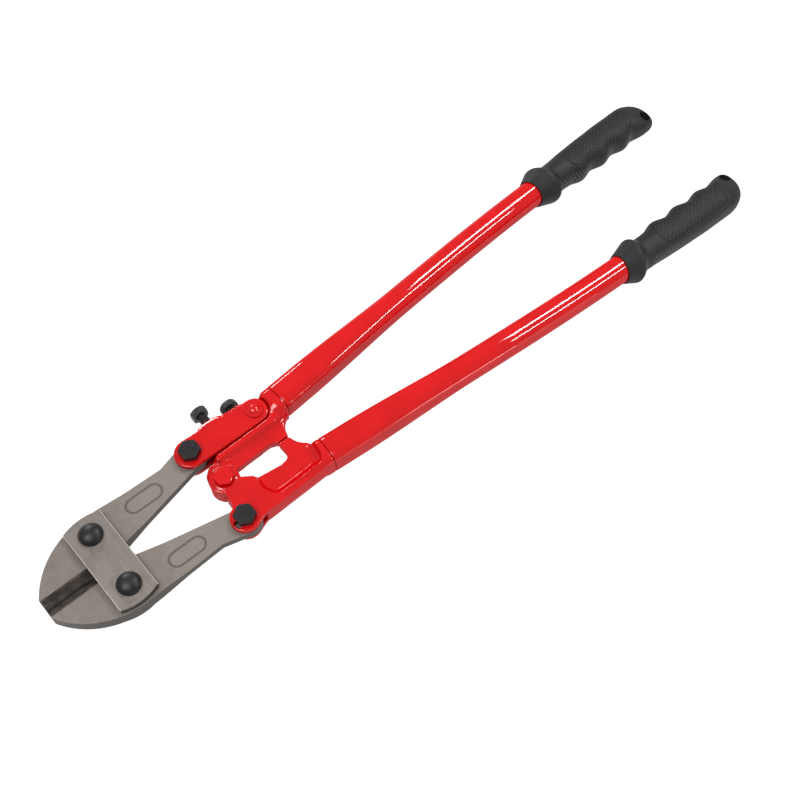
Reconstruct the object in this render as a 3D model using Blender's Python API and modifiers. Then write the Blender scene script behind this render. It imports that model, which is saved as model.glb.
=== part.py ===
"""Bolt cutters, 600 mm class: two handles, two blades, jaw plates and an adjusting link.

Frame: the origin is on the centre pivot's axis, on the plane the tool lies on. +X runs from
the pivot to the grips, +Y towards the handle that carries the adjusting link, +Z up.
All sizes are in metres. Outlines are drawn for the upper (+Y) half and mirrored for the lower.
"""
import math

import bmesh
import bpy
from mathutils import Matrix, Vector

# ---------------------------------------------------------------- driving dimensions
MID_Z = 0.0160              # height of the tool's mid plane above what it lies on
FACE_GAP = 0.0003           # between faces that touch on the real tool
RUN_CLEAR = 0.00025         # between a shank and its hole

JAW_PIVOT_X = -0.0900       # the two jaw bolts
JAW_PIVOT_Y = 0.0220
TAIL_PIVOT_X = -0.0059      # where the blade tails are bolted to the handles
TAIL_PIVOT_Y = 0.0311
LINK_RIVET_X = 0.0468       # where the adjusting link is riveted to the upper casting
LINK_RIVET_Y = 0.0294

# blades
JAW_THICK = 0.0104
TAIL_THICK = 0.0060
JAW_TIP_X = -0.1393
JAW_TIP_HALF = 0.0075       # height of the blunt nose above the cutting line
JAW_BACK_Y = 0.0375         # back of the blade over the jaw bolt
JAW_ARC_X = -0.0880         # centre of the rounded back
CUT_BEVEL = 0.0067          # width of the ground bevel on the blade's face
CUT_LAND = 0.0003           # half height of the cutting edge
CUT_END_X = -0.0990         # heel of the cutting edge, under the jaw plates
HEEL_RELIEF_Y = 0.0026
TAIL_INNER_X = -0.0755
TAIL_INNER_Y = 0.0056
TAIL_INNER_SLOPE = 0.2286
TAIL_OUTER_Y = 0.0357
EYE_RADIUS = 0.0110
THIN_START_X = -0.0770      # the blade thins from the jaw to the tail between these
THIN_END_X = -0.0700
OVAL_X = -0.0484
OVAL_Y = 0.0249
OVAL_LENGTH = 0.0275
OVAL_WIDTH = 0.0115
OVAL_DEPTH = 0.0007

# jaw plates
PLATE_THICK = 0.0042
PLATE_WIDTH = 0.0286
PLATE_HALF_LENGTH = 0.0362
PLATE_END_RADIUS = 0.0379

# bolts, nuts and rivet
JAW_SHANK_R = 0.0050
JAW_HEAD_R = 0.0082
JAW_HEAD_HIGH = 0.0050
JAW_NUT_FLATS = 0.0160
TAIL_SHANK_R = 0.0040
TAIL_HEX_FLATS = 0.0135
TAIL_HEX_HIGH = 0.0052
TAIL_NUT_HIGH = 0.0062
PIVOT_SHANK_R = 0.0040
PIVOT_HEX_FLATS = 0.0124
PIVOT_HEX_HIGH = 0.0038
PIVOT_NUT_FLATS = 0.0130
PIVOT_BOSS_R = 0.0078
PIVOT_BOSS_HIGH = 0.0006
RIVET_SHANK_R = 0.0030
RIVET_FLANGE_R = 0.0062
RIVET_FLANGE_HIGH = 0.0010
RIVET_DOME_R = 0.0042
RIVET_DOME_HIGH = 0.0022

# castings
CAST_THICK = 0.0142
FORK_GAP = 0.0070           # between the cheeks, and between the link plates
WEB_THICK = 0.0060          # of the thin panels round the window
KNUCKLE_R = 0.0105
KNUCKLE_CLEAR = 0.0005
KNUCKLE_PROUD = 0.0002
LAP_GAP = 0.0004
EAR_RADIUS = 0.0105
SLOT_CLEAR = 0.0010         # round the blade's eye
SOCKET_X = 0.0650           # where casting and tube meet
COLLAR_LENGTH = 0.0060
CONE_LENGTH = 0.0110
SPIGOT_LENGTH = 0.0200
CROTCH_X = 0.0680
CROTCH_RADIUS = 0.0140
STOP_START_X = 0.0445
STOP_GAP = 0.0003

# adjusting link
LINK_TAIL_R = 0.0112
LINK_RIVET_R = 0.0098
LINK_THICK = 0.0035
LINK_SWING = math.radians(1.0)
ADJUST_X = 0.0175
ADJUST_SHANK_R = 0.0032
ADJUST_FLATS = 0.0114
ADJUST_HEAD_Y = 0.0524
ADJUST_HEAD_HIGH = 0.0056
LOCK_X = 0.0364
LOCK_SHANK_R = 0.0030
LOCK_HEAD_R = 0.0067
LOCK_HEAD_Y = 0.0442
LOCK_HEAD_HIGH = 0.0056
BLOCK_LOW_Y = 0.0338
TONGUE_TOP_Y = 0.0305
BRIDGE_START_X = 0.0075
BRIDGE_END_X = 0.0275
BRIDGE_TOP_Y = 0.0442
LOCK_STEP_X = 0.0435
LOCK_STEP_HIGH = 0.0016

# tubes: centre line as four control points of one Bezier curve
TUBE_PATH = ((0.0640, 0.0273), (0.2640, 0.0449), (0.2850, 0.0478), (0.4350, 0.0508))
TUBE_ROOT_R = 0.0117
TUBE_R = 0.01035
TUBE_WALL = 0.0016
SWAGE_START_X = 0.1000
SWAGE_END_X = 0.1420
TUBE_END_X = 0.4340

# grips
GRIP_START_X = 0.3270
COLLAR_R = 0.0154
COLLAR_X = 0.0155           # from the mouth to the widest ring
COLLAR_LEAN = 0.0045        # the ring leans back on the inner side
NECK_R = 0.0132
FINGER_PITCH = 0.0235
FINGER_PEAK_X = 0.3995
FINGER_DEPTH = 0.0012
GRIP_HALF_HIGH = 0.0138
HANG_X = 0.4520
HANG_Y = 0.0427
HANG_R = 0.0040
BORE_END_GAP = 0.0020

# how finely round shapes are drawn
ARC_STEP = math.radians(15)
ROUND_SIDES = 24
TUBE_SIDES = 20
GRIP_SIDES = 24

JAW_HALF = JAW_THICK / 2
TAIL_HALF = TAIL_THICK / 2
CAST_HALF = CAST_THICK / 2
FORK_HALF = FORK_GAP / 2
WEB_HALF = WEB_THICK / 2
TONGUE_HALF = FORK_HALF - FACE_GAP
LINK_OUT = FORK_HALF + LINK_THICK
PLATE_IN = JAW_HALF + FACE_GAP
PLATE_OUT = PLATE_IN + PLATE_THICK
LINK_LENGTH = math.hypot(LINK_RIVET_X - TAIL_PIVOT_X, LINK_RIVET_Y - TAIL_PIVOT_Y)
TAIL_HOLE_PLAY = LINK_LENGTH * LINK_SWING + FACE_GAP

UPPER = 1
LOWER = -1

# ---------------------------------------------------------------- scene set-up
for old in list(bpy.data.objects):
    bpy.data.objects.remove(old, do_unlink=True)

parts = bpy.data.collections.new("bolt_cutters")
guides = bpy.data.collections.new("cutters")
bpy.context.scene.collection.children.link(parts)
bpy.context.scene.collection.children.link(guides)


def finish(name, colour, roughness, metallic):
    """A plain Principled material."""
    material = bpy.data.materials.new(name)
    material.use_nodes = True
    shader = material.node_tree.nodes["Principled BSDF"]
    shader.inputs["Base Color"].default_value = (*colour, 1.0)
    shader.inputs["Roughness"].default_value = roughness
    shader.inputs["Metallic"].default_value = metallic
    return material


RED_PAINT = finish("red_paint", (0.68, 0.02, 0.02), 0.30, 0.0)
BLADE_STEEL = finish("blade_steel", (0.36, 0.33, 0.31), 0.45, 0.9)
BLACK_OXIDE = finish("black_oxide", (0.035, 0.035, 0.037), 0.42, 0.6)
GRIP_RUBBER = finish("grip_rubber", (0.06, 0.06, 0.062), 0.60, 0.0)


# ---------------------------------------------------------------- small helpers
def add_part(name, mesh, material):
    """Link a mesh as a named part."""
    part = bpy.data.objects.new(name, mesh)
    parts.objects.link(part)
    mesh.materials.clear()
    mesh.materials.append(material)
    return part


def add_guide(name, mesh):
    """Link a mesh as a hidden Boolean operand."""
    guide = bpy.data.objects.new(name, mesh)
    guides.objects.link(guide)
    guide.hide_render = True
    guide.display_type = "WIRE"
    return guide


def combine(part, operand_mesh, operation):
    """Put a Boolean with the given mesh on a part."""
    guide = add_guide(part.name + "_" + operation.lower(), operand_mesh)
    modifier = part.modifiers.new(operation.lower(), "BOOLEAN")
    modifier.operation = operation
    modifier.solver = "EXACT"
    modifier.object = guide


def cut(part, *meshes):
    """Take each mesh away from a part."""
    for mesh in meshes:
        combine(part, mesh, "DIFFERENCE")


def join(part, *meshes):
    """Add each mesh to a part."""
    for mesh in meshes:
        combine(part, mesh, "UNION")


def arc(centre_x, centre_y, radius, start_deg, end_deg):
    """Points along an arc, as sharp outline corners."""
    sweep = math.radians(end_deg - start_deg)
    steps = max(2, math.ceil(abs(sweep) / ARC_STEP))
    points = []
    for index in range(steps + 1):
        angle = math.radians(start_deg) + sweep * index / steps
        points.append((centre_x + radius * math.cos(angle), centre_y + radius * math.sin(angle), 0.0))
    return points


def rounded(corners):
    """Outline points from corners (x, y, radius), each corner filleted with its radius."""
    outline = []
    for index, (x, y, radius) in enumerate(corners):
        corner = Vector((x, y))
        if radius <= 0.0:
            outline.append(corner)
            continue
        before = (Vector(corners[index - 1][:2]) - corner).normalized()
        after = (Vector(corners[(index + 1) % len(corners)][:2]) - corner).normalized()
        opening = before.angle(after)
        centre = corner + (before + after).normalized() * radius / math.sin(opening / 2)
        start = corner + before * radius / math.tan(opening / 2) - centre
        turn = math.pi - opening
        if before.cross(after) > 0:
            turn = -turn
        steps = max(2, math.ceil(abs(turn) / ARC_STEP))
        for step in range(steps + 1):
            outline.append(centre + Matrix.Rotation(turn * step / steps, 2) @ start)
    return outline


def curve_to_mesh(curve):
    """Turn curve data into a welded mesh and drop the curve."""
    holder = bpy.data.objects.new("curve_holder", curve)
    guides.objects.link(holder)
    bpy.context.view_layer.update()
    graph = bpy.context.evaluated_depsgraph_get()
    mesh = bpy.data.meshes.new_from_object(holder.evaluated_get(graph))
    bpy.data.objects.remove(holder, do_unlink=True)
    bpy.data.curves.remove(curve)
    welded = bmesh.new()
    welded.from_mesh(mesh)
    bmesh.ops.remove_doubles(welded, verts=welded.verts, dist=1e-6)
    bmesh.ops.recalc_face_normals(welded, faces=welded.faces)
    welded.to_mesh(mesh)
    welded.free()
    return mesh


def slab(corners, low, high, side=UPPER):
    """A flat plate with a rounded outline between two heights from the mid plane."""
    curve = bpy.data.curves.new("outline", "CURVE")
    curve.dimensions = "2D"
    curve.fill_mode = "BOTH"
    curve.extrude = (high - low) / 2
    points = rounded(corners)
    spline = curve.splines.new("POLY")
    spline.points.add(len(points) - 1)
    spline.use_cyclic_u = True
    for knot, point in zip(spline.points, points):
        knot.co = (point.x, point.y * side, 0.0, 1.0)
    mesh = curve_to_mesh(curve)
    mesh.transform(Matrix.Translation((0.0, 0.0, MID_Z + (low + high) / 2)))
    return mesh


def prism_xz(corners, low_y, high_y):
    """A prism whose outline lies in XZ (heights from the mid plane), between two y values."""
    mesh = slab(corners, low_y, high_y)
    mesh.transform(Matrix.Translation((0.0, 0.0, -MID_Z)))
    mesh.transform(Matrix.Rotation(math.radians(90), 4, "X"))
    mesh.transform(Matrix.Scale(-1.0, 4, (0.0, 1.0, 0.0)))
    mesh.flip_normals()
    mesh.transform(Matrix.Translation((0.0, 0.0, MID_Z)))
    return mesh


def prism_yz(corners, low_x, high_x):
    """A prism whose outline lies in YZ (heights from the mid plane), between two x values."""
    mesh = slab(corners, low_x, high_x)
    mesh.transform(Matrix.Translation((0.0, 0.0, -MID_Z)))
    mesh.transform(Matrix(((0, 0, 1, 0), (1, 0, 0, 0), (0, 1, 0, 0), (0, 0, 0, 1))))
    mesh.transform(Matrix.Translation((0.0, 0.0, MID_Z)))
    return mesh


def round_bar(start, end, start_radius, end_radius=None, sides=ROUND_SIDES, twist=0.0):
    """A closed cylinder or cone between two points."""
    axis = Vector(end) - Vector(start)
    mesh = bpy.data.meshes.new("round_bar")
    shape = bmesh.new()
    bmesh.ops.create_cone(
        shape, cap_ends=True, segments=sides, radius1=start_radius,
        radius2=start_radius if end_radius is None else end_radius, depth=axis.length)
    turn = axis.to_track_quat("Z", "Y").to_matrix().to_4x4()
    place = Matrix.Translation((Vector(start) + Vector(end)) / 2) @ turn @ Matrix.Rotation(twist, 4, "Z")
    bmesh.ops.transform(shape, matrix=place, verts=shape.verts)
    shape.to_mesh(mesh)
    shape.free()
    return mesh


def upright(x, y, low, high, radius, sides=ROUND_SIDES, twist=0.0):
    """A cylinder along Z between two heights from the mid plane."""
    return round_bar((x, y, MID_Z + low), (x, y, MID_Z + high), radius, sides=sides, twist=twist)


def hexagon(x, y, low, high, flats):
    """A hexagonal prism along Z with two corners on the Y axis."""
    return upright(x, y, low, high, flats / math.sqrt(3), sides=6, twist=math.radians(30))


def turned(name, profile, x, y, material):
    """A part of revolution about a vertical axis, from (radius, height) run top to bottom."""
    mesh = bpy.data.meshes.new(name)
    shape = bmesh.new()
    ring = [shape.verts.new((radius, 0.0, height)) for radius, height in profile]
    for first, second in zip(ring, ring[1:]):
        shape.edges.new((first, second))
    shape.to_mesh(mesh)
    shape.free()
    part = add_part(name, mesh, material)
    part.location = (x, y, MID_Z)
    screw = part.modifiers.new("turn", "SCREW")
    screw.axis = "Z"
    screw.steps = ROUND_SIDES
    screw.render_steps = ROUND_SIDES
    screw.use_merge_vertices = True
    screw.merge_threshold = 0.00001
    screw.use_smooth_shade = True
    return part


def smooth(part):
    """Shade a part smooth, keeping its hard edges."""
    part.data.shade_smooth()
    part.data.set_sharp_from_angle(angle=math.radians(35))


def dome(radius, foot, high):
    """Profile points of a domed head, from its crown down to its rim."""
    steps = 5
    points = []
    for index in range(steps + 1):
        angle = math.radians(90) * index / steps
        points.append((radius * math.sin(angle), foot + high * math.cos(angle)))
    return points


# ---------------------------------------------------------------- tube centre line
def path_point(amount):
    """Point of the upper tube's centre line at curve parameter 0 to 1."""
    weights = (
        (1 - amount) ** 3,
        3 * amount * (1 - amount) ** 2,
        3 * amount ** 2 * (1 - amount),
        amount ** 3,
    )
    x = sum(weight * control[0] for weight, control in zip(weights, TUBE_PATH))
    y = sum(weight * control[1] for weight, control in zip(weights, TUBE_PATH))
    return Vector((x, y))


def path_at(x):
    """Point of the centre line at a given x; past either end it runs on straight."""
    first, last = TUBE_PATH[0], TUBE_PATH[-1]
    if x >= last[0]:
        slope = (last[1] - TUBE_PATH[-2][1]) / (last[0] - TUBE_PATH[-2][0])
        return Vector((x, last[1] + slope * (x - last[0])))
    if x <= first[0]:
        slope = (TUBE_PATH[1][1] - first[1]) / (TUBE_PATH[1][0] - first[0])
        return Vector((x, first[1] + slope * (x - first[0])))
    low, high = 0.0, 1.0
    for _ in range(40):
        middle = (low + high) / 2
        if path_point(middle).x < x:
            low = middle
        else:
            high = middle
    return path_point((low + high) / 2)


def tube_radius(x):
    """Outer radius of the tube: swaged down from the casting to the grip."""
    amount = (x - SWAGE_START_X) / (SWAGE_END_X - SWAGE_START_X)
    amount = min(1.0, max(0.0, amount))
    blend = amount * amount * (3 - 2 * amount)
    return TUBE_ROOT_R + (TUBE_R - TUBE_ROOT_R) * blend


def spread(start, end, count):
    """Evenly spaced values, both ends included."""
    return [start + (end - start) * index / (count - 1) for index in range(count)]


def path_tube(stations, offset, side):
    """A round bar along the centre line, its radius the tube's plus an offset."""
    curve = bpy.data.curves.new("tube", "CURVE")
    curve.dimensions = "3D"
    curve.bevel_mode = "ROUND"
    curve.bevel_depth = 1.0
    curve.bevel_resolution = TUBE_SIDES // 2 - 2
    curve.use_fill_caps = True
    spline = curve.splines.new("POLY")
    spline.points.add(len(stations) - 1)
    for knot, x in zip(spline.points, stations):
        centre = path_at(x)
        knot.co = (centre.x, centre.y * side, MID_Z, 1.0)
        knot.radius = tube_radius(x) + offset
    return curve_to_mesh(curve)


# ---------------------------------------------------------------- blades
def blade_outline():
    """Outline of the upper blade: blunt nose, rounded back, straight tail and eye."""
    rise = JAW_BACK_Y
    reach = JAW_ARC_X - JAW_TIP_X
    drop = (reach ** 2 + JAW_TIP_HALF ** 2 - rise ** 2) / (2 * (rise - JAW_TIP_HALF))
    radius = rise + drop
    nose_angle = math.degrees(math.atan2(JAW_TIP_HALF + drop, JAW_TIP_X - JAW_ARC_X))
    edge_y = FACE_GAP / 2
    tail_y = TAIL_INNER_Y + TAIL_INNER_SLOPE * (TAIL_PIVOT_X - EYE_RADIUS / 2 - TAIL_INNER_X)
    return [
        (JAW_TIP_X, edge_y, 0.0),
        *arc(JAW_ARC_X, -drop, radius, nose_angle, 88),
        (TAIL_PIVOT_X - 2 * EYE_RADIUS, TAIL_OUTER_Y, 0.006),
        *arc(TAIL_PIVOT_X, TAIL_PIVOT_Y, EYE_RADIUS, 125, -90),
        (TAIL_PIVOT_X - EYE_RADIUS / 2, tail_y, 0.0),
        (TAIL_INNER_X, TAIL_INNER_Y, 0.006),
        (CUT_END_X + 0.004, HEEL_RELIEF_Y, 0.002),
        (CUT_END_X, edge_y, 0.0),
    ]


def stadium(x, y, length, width, vertical=False):
    """Outline of a slot with round ends."""
    straight = (length - width) / 2
    if vertical:
        return arc(x, y + straight, width / 2, 0, 180) + arc(x, y - straight, width / 2, 180, 360)
    return arc(x + straight, y, width / 2, -90, 90) + arc(x - straight, y, width / 2, 90, 270)


def build_blade(name, side, jaw_hole, tail_hole_radius):
    """One blade, thick at the jaw and thinned to its tail."""
    blade = add_part(name, slab(blade_outline(), -JAW_HALF, JAW_HALF, side), BLADE_STEEL)
    beyond = 0.002
    for face in (1, -1):
        thin = [
            (THIN_START_X, face * (JAW_HALF + beyond), 0.0),
            (THIN_START_X, face * JAW_HALF, 0.0),
            (THIN_END_X, face * TAIL_HALF, 0.0),
            (TAIL_PIVOT_X + 2 * EYE_RADIUS, face * TAIL_HALF, 0.0),
            (TAIL_PIVOT_X + 2 * EYE_RADIUS, face * (JAW_HALF + beyond), 0.0),
        ]
        cut(blade, prism_xz(thin, -2 * JAW_BACK_Y, 2 * JAW_BACK_Y))
        bevel = [
            (side * -beyond, face * CUT_LAND, 0.0),
            (side * FACE_GAP / 2, face * CUT_LAND, 0.0),
            (side * CUT_BEVEL, face * (JAW_HALF + FACE_GAP), 0.0),
            (side * -beyond, face * (JAW_HALF + FACE_GAP), 0.0),
        ]
        cut(blade, prism_yz(bevel, JAW_TIP_X - beyond, CUT_END_X + beyond))
        oval = stadium(OVAL_X, OVAL_Y, OVAL_LENGTH, OVAL_WIDTH)
        oval_low, oval_high = sorted((face * (TAIL_HALF - OVAL_DEPTH), face * (TAIL_HALF + beyond)))
        cut(blade, slab(oval, oval_low, oval_high, side))
    cut(blade, slab(jaw_hole, -2 * JAW_HALF, 2 * JAW_HALF, side))
    cut(blade, upright(TAIL_PIVOT_X, side * TAIL_PIVOT_Y, -2 * JAW_HALF, 2 * JAW_HALF, tail_hole_radius))
    return blade


# The lower blade's jaw hole is a slot towards the cutting line: the linkage is opened at this pivot.
OPEN_PIVOT_TRAVEL = 0.0043
jaw_hole_r = JAW_SHANK_R + RUN_CLEAR
slot_r = JAW_SHANK_R + 2 * RUN_CLEAR
round_hole = arc(JAW_PIVOT_X, JAW_PIVOT_Y, jaw_hole_r, 0, 345)
open_hole = stadium(
    JAW_PIVOT_X, JAW_PIVOT_Y - OPEN_PIVOT_TRAVEL / 2, OPEN_PIVOT_TRAVEL + 2 * slot_r, 2 * slot_r, vertical=True)
upper_blade = build_blade("upper_blade", UPPER, round_hole, TAIL_SHANK_R + TAIL_HOLE_PLAY)
lower_blade = build_blade("lower_blade", LOWER, open_hole, TAIL_SHANK_R + RUN_CLEAR)


# ---------------------------------------------------------------- jaw plates and their bolts
def plate_outline():
    """Straight sides and shallow round ends across both blades."""
    half = PLATE_WIDTH / 2
    lean = math.degrees(math.asin(half / PLATE_END_RADIUS))
    centre = PLATE_HALF_LENGTH - PLATE_END_RADIUS
    top = arc(JAW_PIVOT_X, centre, PLATE_END_RADIUS, 90 - lean, 90 + lean)
    bottom = arc(JAW_PIVOT_X, -centre, PLATE_END_RADIUS, 270 - lean, 270 + lean)
    return top + bottom


def build_jaw_plate(name, face):
    """One of the two plates that the blades turn between."""
    low, high = sorted((face * PLATE_IN, face * PLATE_OUT))
    plate = add_part(name, slab(plate_outline(), low, high), BLADE_STEEL)
    for side in (UPPER, LOWER):
        cut(plate, upright(
            JAW_PIVOT_X, side * JAW_PIVOT_Y, low - FACE_GAP, high + FACE_GAP, jaw_hole_r))
    return plate


front_jaw_plate = build_jaw_plate("front_jaw_plate", 1)
rear_jaw_plate = build_jaw_plate("rear_jaw_plate", -1)


def build_jaw_bolt(name, side):
    """Domed round head on a plain shank, ending just inside its nut."""
    foot = PLATE_OUT + FACE_GAP
    rim = 0.0012
    profile = [
        *dome(JAW_HEAD_R, foot + rim, JAW_HEAD_HIGH - rim),
        (JAW_HEAD_R, foot),
        (JAW_SHANK_R, foot),
        (JAW_SHANK_R, FACE_GAP - MID_Z),
        (0.0, FACE_GAP - MID_Z),
    ]
    return turned(name, profile, JAW_PIVOT_X, side * JAW_PIVOT_Y, BLACK_OXIDE)


def build_nut(name, x, y, low, high, flats, hole_radius, material):
    """A hexagon nut with a plain hole."""
    nut = add_part(name, hexagon(x, y, low, high, flats), material)
    cut(nut, upright(x, y, low - FACE_GAP, high + FACE_GAP, hole_radius))
    return nut


jaw_pieces = [front_jaw_plate, rear_jaw_plate]
for side_name, side in (("upper", UPPER), ("lower", LOWER)):
    jaw_pieces.append(build_jaw_bolt(side_name + "_jaw_bolt", side))
    jaw_pieces.append(build_nut(
        side_name + "_jaw_nut", JAW_PIVOT_X, side * JAW_PIVOT_Y, -MID_Z, -PLATE_OUT - FACE_GAP,
        JAW_NUT_FLATS, jaw_hole_r, BLACK_OXIDE))


# ---------------------------------------------------------------- tail bolts and centre pivot
def build_hex_bolt(name, x, y, foot, head_high, flats, shank_radius, shank_end, material):
    """A hexagon head on a plain shank."""
    bolt = add_part(name, hexagon(x, y, foot, foot + head_high, flats), material)
    join(bolt, upright(x, y, shank_end, foot + head_high / 2, shank_radius))
    return bolt


tail_foot = LINK_OUT + FACE_GAP
tail_bolts = {}
tail_nuts = {}
for side_name, side in (("upper", UPPER), ("lower", LOWER)):
    y = side * TAIL_PIVOT_Y
    nut_low = -tail_foot - TAIL_NUT_HIGH
    tail_bolts[side_name] = build_hex_bolt(
        side_name + "_tail_bolt", TAIL_PIVOT_X, y, tail_foot, TAIL_HEX_HIGH, TAIL_HEX_FLATS,
        TAIL_SHANK_R, nut_low - 0.0010, BLACK_OXIDE)
    tail_nuts[side_name] = build_nut(
        side_name + "_tail_nut", TAIL_PIVOT_X, y, nut_low, -tail_foot, TAIL_HEX_FLATS,
        TAIL_SHANK_R + RUN_CLEAR, BLACK_OXIDE)

pivot_foot = CAST_HALF + PIVOT_BOSS_HIGH + FACE_GAP
pivot_bolt = build_hex_bolt(
    "centre_pivot_bolt", 0.0, 0.0, pivot_foot, PIVOT_HEX_HIGH, PIVOT_HEX_FLATS,
    PIVOT_SHANK_R, -MID_Z, RED_PAINT)
pivot_nut = build_nut(
    "centre_pivot_nut", 0.0, 0.0, -MID_Z, -pivot_foot, PIVOT_NUT_FLATS,
    PIVOT_SHANK_R + RUN_CLEAR, BLACK_OXIDE)


# ---------------------------------------------------------------- castings
def socket_shapes(side):
    """Cone, collar and spigot that carry the tube, along the tube's first direction."""
    seat = path_at(SOCKET_X)
    ahead = (path_at(SOCKET_X + 0.01) - seat).normalized()

    def station(distance):
        point = seat + ahead * distance
        return (point.x, point.y * side, MID_Z)

    cone = round_bar(
        station(-COLLAR_LENGTH - CONE_LENGTH), station(-COLLAR_LENGTH), CAST_HALF * 0.9,
        TUBE_ROOT_R - FACE_GAP)
    collar = round_bar(station(-COLLAR_LENGTH - FACE_GAP), station(0.0), TUBE_ROOT_R)
    spigot = round_bar(
        station(-COLLAR_LENGTH), station(SPIGOT_LENGTH), TUBE_ROOT_R - TUBE_WALL - RUN_CLEAR)
    return cone, collar, spigot


socket_seat = path_at(SOCKET_X)
socket_inner_y = socket_seat.y - TUBE_ROOT_R
socket_outer_y = socket_seat.y + TUBE_ROOT_R
body_end_x = SOCKET_X - COLLAR_LENGTH
crotch_arc = arc(CROTCH_X, 0.0, CROTCH_RADIUS, 180 - math.degrees(STOP_GAP / CROTCH_RADIUS), 122)

# Lower casting, drawn on the +Y side and mirrored: ear, neck, knuckle, window, stop and rail.
lower_body = [
    (-0.0063, 0.0090, 0.0),
    (0.0085, 0.0050, 0.0),
    (0.0125, 0.0078, 0.003),
    (0.0180, 0.0116, 0.002),
    (0.0360, 0.0142, 0.006),
    (STOP_START_X, 0.0130, 0.005),
    (STOP_START_X, STOP_GAP / 2, 0.0006),
    *crotch_arc,
    (body_end_x, socket_inner_y - 0.0022, 0.002),
    (body_end_x, socket_outer_y - 0.0010, 0.004),
    (0.0300, 0.0371, 0.060),
    (0.0060, 0.0378, 0.010),
    *arc(TAIL_PIVOT_X, TAIL_PIVOT_Y, EAR_RADIUS, 62, 255),
    (-0.0068, 0.0178, 0.004),
]
lower_casting = add_part("lower_casting", slab(lower_body, -CAST_HALF, CAST_HALF, LOWER), RED_PAINT)
join(lower_casting, upright(0.0, 0.0, -CAST_HALF, CAST_HALF, KNUCKLE_R))
join(lower_casting, *socket_shapes(LOWER))
cut(lower_casting, upright(0.0, 0.0, -2 * CAST_HALF, -LAP_GAP / 2 + LAP_GAP, KNUCKLE_R + KNUCKLE_CLEAR))
join(lower_casting, upright(0.0, 0.0, CAST_HALF - FACE_GAP, CAST_HALF + PIVOT_BOSS_HIGH, PIVOT_BOSS_R))
blade_slot = [
    (TAIL_PIVOT_X - 2 * EYE_RADIUS, 0.0130, 0.0),
    (TAIL_PIVOT_X - EYE_RADIUS / 2, 0.0178, 0.002),
    *arc(TAIL_PIVOT_X, TAIL_PIVOT_Y, EYE_RADIUS + SLOT_CLEAR, -90, 15),
    (0.0068, 0.0365, 0.002),
    (0.0068, 0.0450, 0.0),
    (TAIL_PIVOT_X - 2 * EYE_RADIUS, 0.0450, 0.0),
]
cut(lower_casting, slab(blade_slot, -FORK_HALF, FORK_HALF, LOWER))
panel = [
    (0.0175, 0.0060, 0.0),
    (0.0600, 0.0060, 0.0),
    (0.0555, 0.0160, 0.003),
    (0.0555, 0.0280, 0.005),
    (0.0195, 0.0290, 0.004),
    (0.0172, 0.0120, 0.003),
]
stop_thinning = [
    (STOP_START_X - 0.004, -0.0050, 0.0),
    (0.0600, -0.0050, 0.0),
    (0.0600, 0.0100, 0.0),
    (STOP_START_X - 0.004, 0.0100, 0.0),
]
for face in (1, -1):
    shallow, deep = sorted((face * WEB_HALF, face * 2 * CAST_HALF))
    cut(lower_casting, slab(panel, shallow, deep, LOWER))
    cut(lower_casting, slab(stop_thinning, shallow, deep, LOWER))
keyway = [
    (TAIL_PIVOT_X - 0.0082, TAIL_PIVOT_Y - 0.0008, 0.0),
    (TAIL_PIVOT_X - 0.0040, TAIL_PIVOT_Y - 0.0008, 0.0),
    (TAIL_PIVOT_X - 0.0040, TAIL_PIVOT_Y + 0.0042, 0.0),
    (TAIL_PIVOT_X - 0.0082, TAIL_PIVOT_Y + 0.0042, 0.0),
]
cut(lower_casting, slab(keyway, 0.0, 2 * CAST_HALF, LOWER))
cut(lower_casting, upright(0.0, 0.0, -2 * CAST_HALF, 2 * CAST_HALF, PIVOT_SHANK_R + RUN_CLEAR))
cut(lower_casting, upright(
    TAIL_PIVOT_X, -TAIL_PIVOT_Y, -2 * CAST_HALF, 2 * CAST_HALF, TAIL_SHANK_R + RUN_CLEAR))

# Upper casting: a thin web with a rib, a tongue between the link plates, knuckle and stop.
web_body = [
    (0.0000, 0.0080, 0.0),
    (0.0100, 0.0018, 0.0),
    (0.0400, 0.0032, 0.004),
    (STOP_START_X, 0.0012, 0.0008),
    (STOP_START_X, STOP_GAP / 2, 0.0006),
    *crotch_arc,
    (body_end_x, socket_inner_y - 0.0022, 0.002),
    (body_end_x, socket_outer_y - 0.0012, 0.003),
    (0.0570, 0.0376, 0.002),
    *arc(LINK_RIVET_X, LINK_RIVET_Y, LINK_RIVET_R - 0.0018, 40, 150),
    (0.0340, TONGUE_TOP_Y, 0.003),
    (0.0095, TONGUE_TOP_Y, 0.002),
    (0.0068, 0.0165, 0.002),
    (-0.0020, 0.0142, 0.003),
]
upper_casting = add_part("upper_casting", slab(web_body, -TONGUE_HALF, TONGUE_HALF), RED_PAINT)
shoulder = [
    (-0.0095, 0.0060, 0.003),
    (0.0135, 0.0018, 0.002),
    (0.0135, 0.0120, 0.001),
    (0.0580, 0.0130, 0.001),
    (0.0640, 0.0150, 0.0),
    (0.0640, 0.0380, 0.001),
    (0.0575, 0.0380, 0.002),
    *arc(LINK_RIVET_X, LINK_RIVET_Y, LINK_RIVET_R + 0.0016, 35, -75),
    (0.0060, 0.0180, 0.0025),
    (-0.0030, 0.0150, 0.004),
    (-0.0085, 0.0095, 0.003),
]
join(upper_casting, slab(shoulder, -CAST_HALF, CAST_HALF))
join(upper_casting, upright(0.0, 0.0, -CAST_HALF - KNUCKLE_PROUD, -LAP_GAP, KNUCKLE_R))
join(upper_casting, *socket_shapes(UPPER))
cut(upper_casting, upright(0.0, 0.0, -LAP_GAP / 2, 2 * CAST_HALF, KNUCKLE_R + KNUCKLE_CLEAR))
join(upper_casting, upright(
    0.0, 0.0, -CAST_HALF - PIVOT_BOSS_HIGH, FACE_GAP - CAST_HALF, PIVOT_BOSS_R))
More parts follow.
